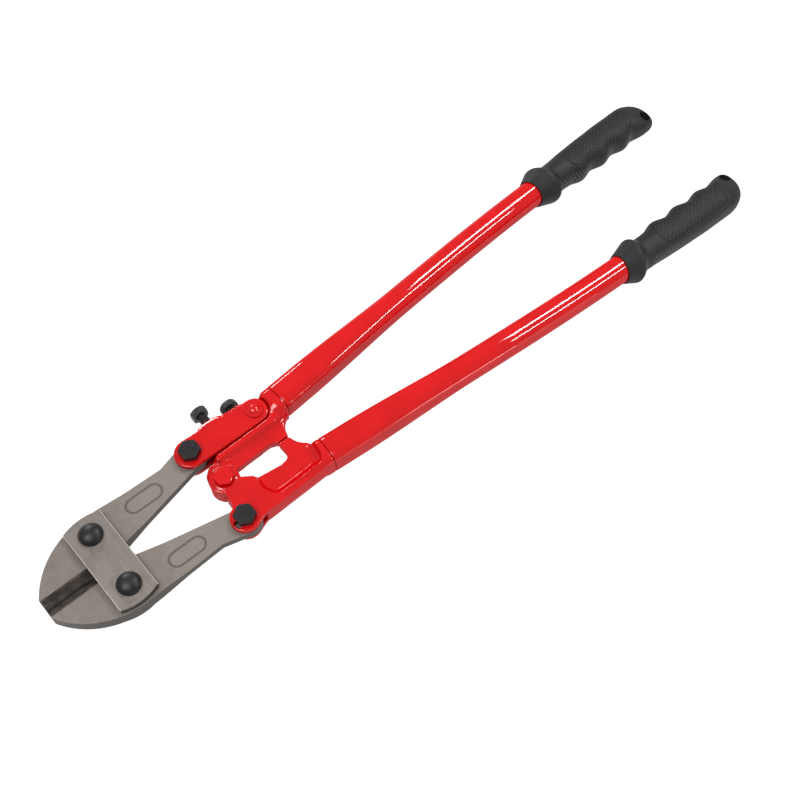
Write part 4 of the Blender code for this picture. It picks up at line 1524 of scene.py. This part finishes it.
@dataclass
class LowerCasting(Casting):
    """The lower handle's root: ear, knuckle over the pivot, window, panel and stop."""

    ear_r: float = 0.0105
    draft: Pair = (0.0004, 0.0022)

    def body(self, outer: float) -> list[Corner]:
        """Outline of the full-height part, drawn on the upper side.

        Args:
            outer: how far its outer wall stays inside the tube's radius.

        Returns:
            Its corners.
        """
        rim = AT.on_path(AT.socket_x).y + AT.tube_root_r - outer
        return [
            (-0.0063, 0.0090, 0.002),
            (0.0085, 0.0050, 0.0),
            (0.0125, 0.0078, 0.003),
            (0.0180, 0.0116, 0.002),
            (0.0360, 0.0142, 0.006),
            (0.0500, 0.0165, 0.002),
            (self.end, 0.0205, 0.002),
            (self.end, rim, 0.002),
            (0.0300, rim + 0.0005, 0.060),
            (0.0060, 0.0378, 0.010),
            *arc(AT.tail, self.ear_r, 62, 255),
            (-0.0068, 0.0178, 0.004),
        ]

    def web(self) -> list[Corner]:
        """Outline of the thin web with the stop and the crotch.

        Returns:
            Its corners.
        """
        return [
            (0.0250, 0.0130, 0.0),
            (0.0360, 0.0142, 0.006),
            (self.stop_x, 0.0130, 0.005),
            (self.stop_x, 0.0003, 0.0010),
            *arc(self.crotch, self.crotch_r, 178, 122),
            (self.end, AT.on_path(AT.socket_x).y - AT.tube_root_r + 0.0006, 0.002),
            (self.end, 0.0330, 0.0),
            (0.0250, 0.0330, 0.0),
        ]

    def panel_floor(self) -> list[Corner]:
        """Outline of the thin panel at its own level.

        Returns:
            Its corners.
        """
        return [
            (0.0186, 0.0080, 0.0),
            (0.0430, 0.0080, 0.0),
            (0.0430, -0.0060, 0.0),
            (0.0565, -0.0060, 0.0),
            (0.0563, 0.0127, 0.004),
            (0.0547, 0.0272, 0.0030),
            (0.0215, 0.0278, 0.0035),
            (0.0190, 0.0215, 0.003),
        ]

    def panel_mouth(self) -> list[Corner]:
        """Outline of the panel's sloping walls at the level of the casting's faces.

        Returns:
            Its corners.
        """
        return [
            (0.0158, 0.0080, 0.0),
            (0.0430, 0.0080, 0.0),
            (0.0430, -0.0060, 0.0),
            (0.0618, -0.0060, 0.0),
            (0.0616, 0.0170, 0.010),
            (0.0592, 0.0323, 0.0065),
            (0.0205, 0.0326, 0.0060),
            (0.0152, 0.0235, 0.005),
        ]

    def build(self, finishes: Finishes) -> None:
        """Model the casting.

        Args:
            finishes: the finishes of the tool.
        """
        wide, narrow = (self.body(outer) for outer in self.draft)
        form = Form(Side.LOWER).slab(self.web(), -AT.web_half, AT.web_half)
        for face in (1, -1):
            form.drafted(wide, narrow, 0.0, face * AT.cast_half)
        form.slab(wide, -0.0006, 0.0006)
        form.post((0.0, 0.0), -AT.cast_half, AT.cast_half, self.knuckle_r)
        form.post((0.0, 0.0), AT.cast_half - 0.0003, AT.cast_half + self.boss_high, self.boss_r)
        Socket(Side.LOWER, cone=0.0240, cone_r=0.0100).add_to(form)
        piece = one_skin(form.to_object("cast_lower"), self.grain)
        ear_slot = [
            (-0.0280, 0.0130, 0.0),
            (-0.0114, 0.0178, 0.002),
            *arc(AT.tail, 0.0120, -90, 15),
            (0.0068, 0.0365, 0.002),
            (0.0068, 0.0450, 0.0),
            (-0.0280, 0.0450, 0.0),
        ]
        notch_x, notch_y = AT.tail[0] - 0.0071, AT.tail[1] + 0.0014
        sides = ((-0.0017, -0.0028), (0.0019, -0.0028), (0.0019, 0.0028), (-0.0017, 0.0028))
        notch = [(notch_x + x, notch_y + y, 0.0) for x, y in sides]
        tools = [
            Form(Side.LOWER).post((0.0, 0.0), -0.02, 0.0002, self.knuckle_r + self.knuckle_room),
            Form(Side.LOWER).slab(ear_slot, -AT.fork_half, AT.fork_half),
            Form(Side.LOWER).slab(notch, 0.0030, 0.02),
        ]
        floor, mouth = self.panel_floor(), self.panel_mouth()
        for face in (1, -1):
            tools.append(Form(Side.LOWER).drafted(floor, mouth, face * AT.web_half, face * 0.0072))
            tools.append(Form(Side.LOWER).slab(mouth, face * 0.0071, face * 0.0140))
        carve(piece, *tools)
        cast_skin(piece, self.grain, self.passes, softer=SoftZone())
        hand_over(piece, finishes.cast, Body.LOWER_HANDLE, Slot.RED, "lower_casting")


@dataclass
class UpperCasting(Casting):
    """The upper handle's root: rib, web, tongue in the link and knuckle under the pivot."""

    rivet_r: float = 0.0098

    def web(self) -> list[Corner]:
        """Outline of the thin layer.

        Returns:
            Its corners.
        """
        seat = AT.on_path(AT.socket_x).y
        return [
            (0.0000, 0.0080, 0.0),
            (0.0100, 0.0022, 0.0),
            (0.0400, 0.0030, 0.004),
            (self.stop_x, 0.0012, 0.0008),
            (self.stop_x, 0.0003, 0.0006),
            *arc(self.crotch, self.crotch_r, 178, 122),
            (self.end, seat - AT.tube_root_r + 0.0006, 0.002),
            (self.end, seat + AT.tube_root_r - 0.0012, 0.003),
            (0.0570, 0.0376, 0.002),
            *arc(AT.rivet, self.rivet_r - 0.0018, 40, 150),
            (0.0340, 0.0305, 0.003),
            (0.0095, 0.0305, 0.002),
            (0.0068, 0.0165, 0.002),
            (-0.0020, 0.0142, 0.003),
        ]

    def root(self) -> list[Corner]:
        """Outline of the lump that joins web and knuckle.

        Returns:
            Its corners.
        """
        return [
            (-0.0092, 0.0060, 0.0005),
            (0.0095, 0.0020, 0.0005),
            (0.0120, 0.0090, 0.003),
            (0.0075, 0.0145, 0.003),
            (-0.0025, 0.0150, 0.003),
            (-0.0082, 0.0100, 0.003),
        ]

    def rib(self, low_y: float, left: float) -> list[Corner]:
        """Outline of the rib that runs along the link and round its end.

        Args:
            low_y: edge of the rib towards the window.
            left: where the rib starts.

        Returns:
            Its corners.
        """
        return [
            (left, low_y, 0.0012),
            (0.0535, low_y, 0.003),
            (0.0640, low_y + 0.0024, 0.0),
            (0.0640, 0.0378, 0.001),
            (0.0578, 0.0378, 0.002),
            *arc(AT.rivet, self.rivet_r + 0.0016, 35, -75),
            (left, 0.0176, 0.0012),
        ]

    def build(self, finishes: Finishes) -> None:
        """Model the casting.

        Args:
            finishes: the finishes of the tool.
        """
        tongue = AT.fork_half - AT.gap
        form = Form().slab(self.web(), -tongue, tongue)
        form.slab(self.root(), -0.0052, 0.0046)
        foot, crest = self.rib(0.0108, 0.0022), self.rib(0.0142, 0.0050)
        for face in (1, -1):
            form.drafted(foot, crest, face * 0.0026, face * AT.cast_half)
        form.slab(foot, -0.0028, 0.0028)
        form.post((0.0, 0.0), -AT.cast_half - 0.0002, -0.0004, self.knuckle_r)
        form.post((0.0, 0.0), -AT.cast_half - self.boss_high, -0.0004, self.boss_r)
        Socket(Side.UPPER).add_to(form)
        piece = one_skin(form.to_object("cast_upper"), self.grain)
        room = arc(AT.rivet, self.rivet_r + 0.0005, 0, 355)
        above = AT.fork_half - 0.00015
        carve(
            piece,
            Form().post((0.0, 0.0), -0.0002, 0.02, self.knuckle_r + self.knuckle_room),
            Form().slab(room, above, 0.02),
            Form().slab(room, -0.02, -above),
        )
        cast_skin(piece, self.grain, self.passes, softer=SoftZone())
        hand_over(piece, finishes.cast, Body.UPPER_HANDLE, Slot.RED, "upper_casting")


# ------------------------------------------------------------------ adjusting link
@dataclass
class AdjustingLink:
    """Two link plates, the block between them and the rivet."""

    tail_r: float = 0.0112
    rivet_r: float = 0.0098
    bridge_start: float = 0.0075
    shoulder: float = 0.0062
    shoulder_in: float = 0.0024
    step_x: float = 0.0435
    edge_break: float = 0.0011
    grain: float = 0.00030

    def edge(self, x: float) -> float:
        """Outer edge of the plates.

        Args:
            x: distance from the centre pivot along the tool.

        Returns:
            Its y there.
        """
        lean = self.lean() + math.pi / 2
        up = Vector((math.cos(lean), math.sin(lean)))
        start = Vector(AT.tail) + up * self.tail_r
        end = Vector(AT.rivet) + up * self.rivet_r
        return start.y + (end.y - start.y) * (x - start.x) / (end.x - start.x)

    def lean(self) -> float:
        """Angle of the line from tail bolt to rivet."""
        return math.atan2(AT.rivet[1] - AT.tail[1], AT.rivet[0] - AT.tail[0])

    def bridge(self, inset: float) -> list[Corner]:
        """Outline of the bulge over the screws.

        Args:
            inset: how far its outer edge is drawn back.

        Returns:
            Its corners.
        """
        foot = self.edge(self.bridge_start)
        return [
            (self.bridge_start - 0.0012, foot - 0.0032, 0.0),
            (0.0300, self.edge(0.0300) - 0.0032, 0.0),
            (0.0286, self.edge(0.0286) + 0.0002 - inset, 0.003),
            (0.0252, 0.0426 - inset, 0.004),
            (0.0205, 0.0438 - inset, 0.006),
            (0.0140, 0.0441 - inset, 0.006),
            (0.0095, 0.0433 - inset, 0.003),
            (self.bridge_start - 0.0012, foot - 0.0004 - inset, 0.0),
        ]

    def build(self, finishes: Finishes) -> None:
        """Model the link's pieces.

        Args:
            finishes: the finishes of the tool.
        """
        turn = math.degrees(self.lean())
        outline = arc(AT.tail, self.tail_r, 90 + turn, 270 + turn)
        outline += arc(AT.rivet, self.rivet_r, -90 + turn, 90 + turn)
        for word, face in (("front", 1), ("rear", -1)):
            low, high = sorted((face * AT.fork_half, face * AT.link_out))
            plate = Form().slab(outline, low, high).to_object(f"link_{word}")
            ease(plate, self.edge_break, 4)
            hand_over(plate, finishes.cast, Body.LINK, Slot.RED, f"{word}_link_plate")
        gap = AT.gap
        stem = [
            (self.bridge_start, 0.0338, 0.001),
            (0.0315, 0.0338, 0.001),
            (0.0405, 0.0362, 0.001),
            (0.0405, self.edge(0.0405) + 2 * gap, 0.0),
            (self.bridge_start, self.edge(self.bridge_start) + 2 * gap, 0.0),
        ]
        step = [
            (0.0200, self.edge(0.0200) - 0.0012, 0.0),
            (self.step_x, self.edge(self.step_x) - 0.0012, 0.0),
            (self.step_x, self.edge(self.step_x) + 0.0016, 0.0008),
            (0.0200, self.edge(0.0200) + 0.0016, 0.0),
        ]
        form = Form().slab(stem, -AT.fork_half + gap, AT.fork_half - gap)
        bulge, crest = self.bridge(0.0), self.bridge(self.shoulder_in)
        form.slab(bulge, -self.shoulder - 0.0001, self.shoulder + 0.0001)
        for face in (1, -1):
            form.drafted(bulge, crest, face * self.shoulder, face * AT.link_out)
        form.slab(step, -0.0050, 0.0050)
        block = form.to_object("link_block_cast")
        cast_skin(block, self.grain, 6)
        hand_over(block, finishes.cast, Body.LINK, Slot.RED, "link_block")
        foot = AT.link_out + gap
        half = [
            (0.0, foot + 0.0032),
            (0.0010, foot + 0.0032),
            (0.0022, foot + 0.0029),
            (0.0034, foot + 0.0022),
            (0.0041, foot + 0.0013),
            (0.0044, foot + 0.0010),
            (0.0058, foot + 0.0009),
            (0.0062, foot + 0.0005),
            (0.0062, foot),
            (0.0030, foot),
        ]
        profile = half + [(radius, -height) for radius, height in reversed(half)]
        rivet = Form().turned(profile, upright(*AT.rivet, 0.0), 48).to_object("rivet_of_link")
        hard_shade(rivet, 40)
        hand_over(rivet, finishes.cast, Body.LINK, Slot.RED, "link_rivet")


# ------------------------------------------------------------------ handles
@dataclass
class Tube:
    """A painted tube, swaged behind its casting."""

    side: Side
    swage: Pair = (0.0850, 0.1850)
    end_x: float = 0.4340

    def radius(self, x: float) -> float:
        """Outer radius at x."""
        return AT.tube_root_r + (AT.tube_r - AT.tube_root_r) * blend(*self.swage, x)

    def build(self, finishes: Finishes) -> None:
        """Model the tube.

        Args:
            finishes: the finishes of the tool.
        """
        start = AT.socket_x + AT.gap
        mouth = ((0.0012, -0.0017), (0.0, -0.0014), (0.0, -0.0005), (0.0003, -0.00015), (0.0010, 0.0))
        stations = [(start + ahead, inset) for ahead, inset in mouth]
        stations += [(start + 0.004 + index * 0.0052, 0.0) for index in range(71)]
        stations = [pair for pair in stations if pair[0] < self.end_x]
        stations += [(self.end_x, 0.0), (self.end_x, -0.0016), (self.end_x - 0.001, -0.0016)]

        def point(ring: int, angle: float) -> Vector:
            """Point of a ring, from the casting's end to the grip's.

            Args:
                ring: number of the ring.
                angle: angle round it.

            Returns:
                The point.
            """
            x, inset = stations[ring]
            here = AT.on_path(x)
            ahead = (AT.on_path(x + 0.002) - AT.on_path(x - 0.002)).normalized()
            reach = self.radius(x) + inset
            across, up = AT.squared(angle, 1.0 - blend(*self.swage, x))
            spot = here + Vector((-ahead.y, ahead.x)) * (reach * across)
            return Vector((spot.x, spot.y * self.side.value, AT.mid_z + reach * up))

        piece = Form().loft(72, len(stations), point).to_object(f"tube_{self.side.word}")
        hard_shade(piece, 50)
        hand_over(piece, finishes.tube, self.side.handle, Slot.RED, f"{self.side.word}_tube")


@dataclass
class Grip:
    """A moulded rubber grip: slanted mouth and collar, finger rests and hanging hole."""

    side: Side
    start: float = 0.3296
    end: float = 0.4588
    rings: int = 190
    sides: int = 96
    fingers: tuple[float, float, float] = (0.3755, 0.3995, 0.4235)
    hole: Pair = (0.4506, 0.0427)
    hole_r: float = 0.0044

    def collar(self, x: float, high: float) -> float:
        """How far the collar's cone stands out: straight front, short shoulder behind.

        Args:
            x: distance along the tool.
            high: how far it stands out at its edge.

        Returns:
            The distance.
        """
        rise = min(1.0, max(0.0, (x - self.start) / 0.0118))
        return high * rise * (1.0 - blend(0.3425, 0.3500, x)) - 0.0008 * (1.0 - rise)

    def outer(self, x: float) -> float:
        """Reach from the centre line on the back of the grip.

        Args:
            x: distance along the tool.

        Returns:
            The distance.
        """
        body = 0.0122 + 0.0018 * blend(0.352, 0.420, x) + self.collar(x, 0.0040)
        share = min(1.0, max(0.0, (x - 0.4370) / (self.end - 0.4370)))
        return -0.0075 + (body + 0.0075) * (1.0 - share ** 2.3) ** 0.5

    def inner(self, x: float) -> float:
        """Reach from the centre line on the fingers' side.

        Args:
            x: distance along the tool.

        Returns:
            The distance.
        """
        rests = sum(0.0027 * hump(finger, 0.0118, x) for finger in self.fingers)
        tip = 0.0032 * blend(0.430, 0.449, x)
        body = 0.0124 + self.collar(x, 0.0038) + rests + tip
        share = min(1.0, max(0.0, (x - 0.4520) / (self.end - 0.4520)))
        return 0.0075 + (body - 0.0075) * (1.0 - share ** 2.0) ** 0.5

    def high(self, x: float) -> float:
        """Half height.

        Args:
            x: distance along the tool.

        Returns:
            The distance.
        """
        body = 0.0124 + self.collar(x, 0.0032)
        share = min(1.0, max(0.0, (x - 0.4360) / (self.end - 0.4360)))
        return body * (1.0 - 0.24 * blend(0.0, 0.75, share) - 0.70 * share ** 8.0)

    def build(self, finishes: Finishes) -> None:
        """Model the grip.

        Args:
            finishes: the finishes of the tool.
        """
        turn_x = 0.4440
        count = self.rings
        stations = [self.start + (turn_x - self.start) * index / count for index in range(count)]
        for index in range(25):
            stations.append(turn_x + (self.end - turn_x) * math.sin(math.pi / 2 * index / 24))
        mouth = [(self.start + 0.006, -0.0016), (self.start + 0.0012, -0.0014), (self.start, -0.0009)]
        rows = mouth + [(x, 0.0) for x in stations]

        def point(ring: int, angle: float) -> Vector:
            """Point of a ring, from the mouth to the rounded end.

            Args:
                ring: number of the ring.
                angle: angle round it.

            Returns:
                The point.
            """
            x, inset = rows[ring]
            outer, inner = self.outer(x), self.inner(x)
            half = (outer + inner) / 2 + inset
            middle = (outer - inner) / 2
            high = self.high(x) + inset
            across, up = math.cos(angle), math.sin(angle)
            square = 2.0 + 0.70 * blend(0.355, 0.375, x) * blend(0.462, 0.448, x)
            swell = (abs(across) ** square + abs(up) ** square) ** (-1.0 / square)
            offset = middle + half * across * swell
            rise = high * up * swell
            fade = blend(0.372, 0.346, x) * (0.55 + 0.45 * blend(0.326, 0.342, x))
            slant = (-0.24 * offset + 0.16 * rise) * fade
            y = AT.on_path(x).y + offset
            return Vector((x + slant, y * self.side.value, AT.mid_z + rise))

        form = Form().loft(self.sides, len(rows), point)
        piece = form.to_object(f"grip_{self.side.word}")
        carve(piece, Form(self.side).post(self.hole, -0.03, 0.03, self.hole_r))
        hard_shade(piece, 38)
        rubber = finishes.upper_rubber if self.side is Side.UPPER else finishes.lower_rubber
        hand_over(piece, rubber, self.side.handle, Slot.RUBBER, f"{self.side.word}_grip")


# ------------------------------------------------------------------ studio
@dataclass(frozen=True)
class Lamp:
    """One soft rectangular light."""

    name: str
    place: Corner
    aim: Corner
    size: Pair
    power: float

    def hang(self) -> None:
        """Add the light to the scene."""
        data = bpy.data.lights.new(self.name, "AREA")
        data.shape = "RECTANGLE"
        data.size, data.size_y = self.size
        data.energy = self.power
        lamp = bpy.data.objects.new(self.name, data)
        lamp.location = self.place
        lamp.rotation_mode = "QUATERNION"
        lamp.rotation_quaternion = (Vector(self.place) - Vector(self.aim)).to_track_quat("Z", "Y")
        bpy.context.scene.collection.objects.link(lamp)


@dataclass
class Studio:
    """Pale floor, soft lights and the camera."""

    lamps: tuple[Lamp, ...] = (
        Lamp("key", (-0.45, 0.05, 1.00), (-0.05, 0.0, 0.0), (0.50, 0.50), 8.5),
        Lamp("top_strip", (0.90, 0.10, 1.10), (0.90, 0.0, 0.0), (0.40, 0.24), 10.5),
        Lamp("front_strip", (0.86, -0.66, 1.00), (0.86, 0.0, 0.0), (0.40, 0.12), 5.5),
        Lamp("front_fill", (0.10, -1.30, 0.12), (0.10, 0.0, 0.0), (1.60, 0.20), 1.8),
        Lamp("low_strip", (0.48, -1.10, 0.16), (0.48, 0.0, 0.0), (0.20, 0.035), 0.55),
        Lamp("rear_strip", (0.20, 1.10, 0.55), (0.20, 0.0, 0.0), (0.40, 0.16), 6.0),
    )
    sky: float = 0.50
    floor_size: float = 30.0
    lens: float = 51.53
    lift: float = 59.847
    swing: float = 40.543
    shift: Pair = (0.11704, 0.056065)
    distance: float = 0.769244

    def camera(self) -> None:
        """Place the camera from its turn round the tool, its lift and its distance."""
        yaw, lift = math.radians(self.swing), math.radians(self.lift)
        right = Vector((math.cos(yaw), -math.sin(yaw), 0.0))
        up = Vector((math.sin(lift) * math.sin(yaw), math.sin(lift) * math.cos(yaw), math.cos(lift)))
        back = right.cross(up)
        data = bpy.data.cameras.new("camera")
        data.lens = self.lens
        data.sensor_width = 36.0
        data.clip_start = 0.01
        data.clip_end = 100.0
        camera = bpy.data.objects.new("camera", data)
        bpy.context.scene.collection.objects.link(camera)
        spot = right * self.shift[0] + up * self.shift[1] + back * self.distance
        turn = Matrix((right, up, back)).transposed().to_4x4()
        camera.matrix_world = Matrix.Translation(spot + Vector((0.0, 0.0, AT.mid_z))) @ turn
        bpy.context.scene.camera = camera

    def floor(self) -> None:
        """Lay the plain pale floor."""
        form = bmesh.new()
        bmesh.ops.create_grid(form, x_segments=2, y_segments=2, size=self.floor_size)
        data = bpy.data.meshes.new("floor")
        form.to_mesh(data)
        form.free()
        floor = bpy.data.objects.new("floor", data)
        bpy.context.scene.collection.objects.link(floor)
        graph = Graph("pale_floor")
        tone = graph.mix(graph.noise(3.0, 2.0) * 0.3, colour(0.15, 0.15, 0.15), colour(0.13, 0.13, 0.13))
        paint = graph.finish(
            Base_Color=tone,
            Roughness=0.9,
            Specular_IOR_Level=0.1,
            Emission_Color=colour(1.0, 1.0, 1.0),
            Emission_Strength=1.0,
        )
        floor.data.materials.append(paint)

    def build(self) -> None:
        """Set up floor, lights, world and camera."""
        self.camera()
        self.floor()
        world = bpy.data.worlds.new("studio")
        bpy.context.scene.world = world
        world.use_nodes = True
        sky = world.node_tree.nodes["Background"]
        sky.inputs["Color"].default_value = colour(1.0, 1.0, 1.0)
        sky.inputs["Strength"].default_value = self.sky
        bpy.context.scene.view_settings.view_transform = "Standard"
        for lamp in self.lamps:
            lamp.hang()


def main() -> None:
    """Build the whole tool and its studio."""
    logging.basicConfig(level=logging.INFO, format="%(message)s")
    finishes = Finishes.build()
    for side in Side:
        Blade(side).build(finishes)
        Tube(side).build(finishes)
        Grip(side).build(finishes)
    JawPlates().build(finishes)
    LowerCasting().build(finishes)
    UpperCasting().build(finishes)
    AdjustingLink().build(finishes)
    for side, body in ((Side.UPPER, Body.LINK), (Side.LOWER, Body.LOWER_HANDLE)):
        HexBolt(
            word=f"tail_{side.word}",
            at=(AT.tail[0], AT.tail[1] * side.value),
            body=body,
            foot=AT.link_out + AT.gap,
            nodes=(f"{side.word}_tail_bolt", f"{side.word}_tail_nut"),
        ).build(finishes)
    boss = AT.cast_half + Casting.boss_high + AT.gap
    HexBolt(
        word="pivot",
        at=(0.0, 0.0),
        body=Body.LOWER_HANDLE,
        foot=boss,
        nodes=("centre_pivot_bolt", "centre_pivot_nut"),
        flats=0.0124,
        head_high=0.0038,
        nut_high=AT.mid_z - boss,
        tail=0.0,
        head_red=True,
    ).build(finishes)
    LinkScrew(
        word="screw_adjusting",
        x=0.0175,
        tip_y=0.0308,
        head_y=0.0524,
        thread_r=0.0036,
        body=Body.ADJUSTER,
        node="adjusting_screw",
        flats=0.0114,
    ).build(finishes)
    LinkScrew(
        word="screw_lock",
        x=0.0364,
        tip_y=0.0315,
        head_y=0.0442,
        thread_r=0.0030,
        body=Body.LOCKER,
        node="lock_screw",
        head_r=0.0067,
    ).build(finishes)
    Studio().build()


if __name__ == "__main__":
    main()
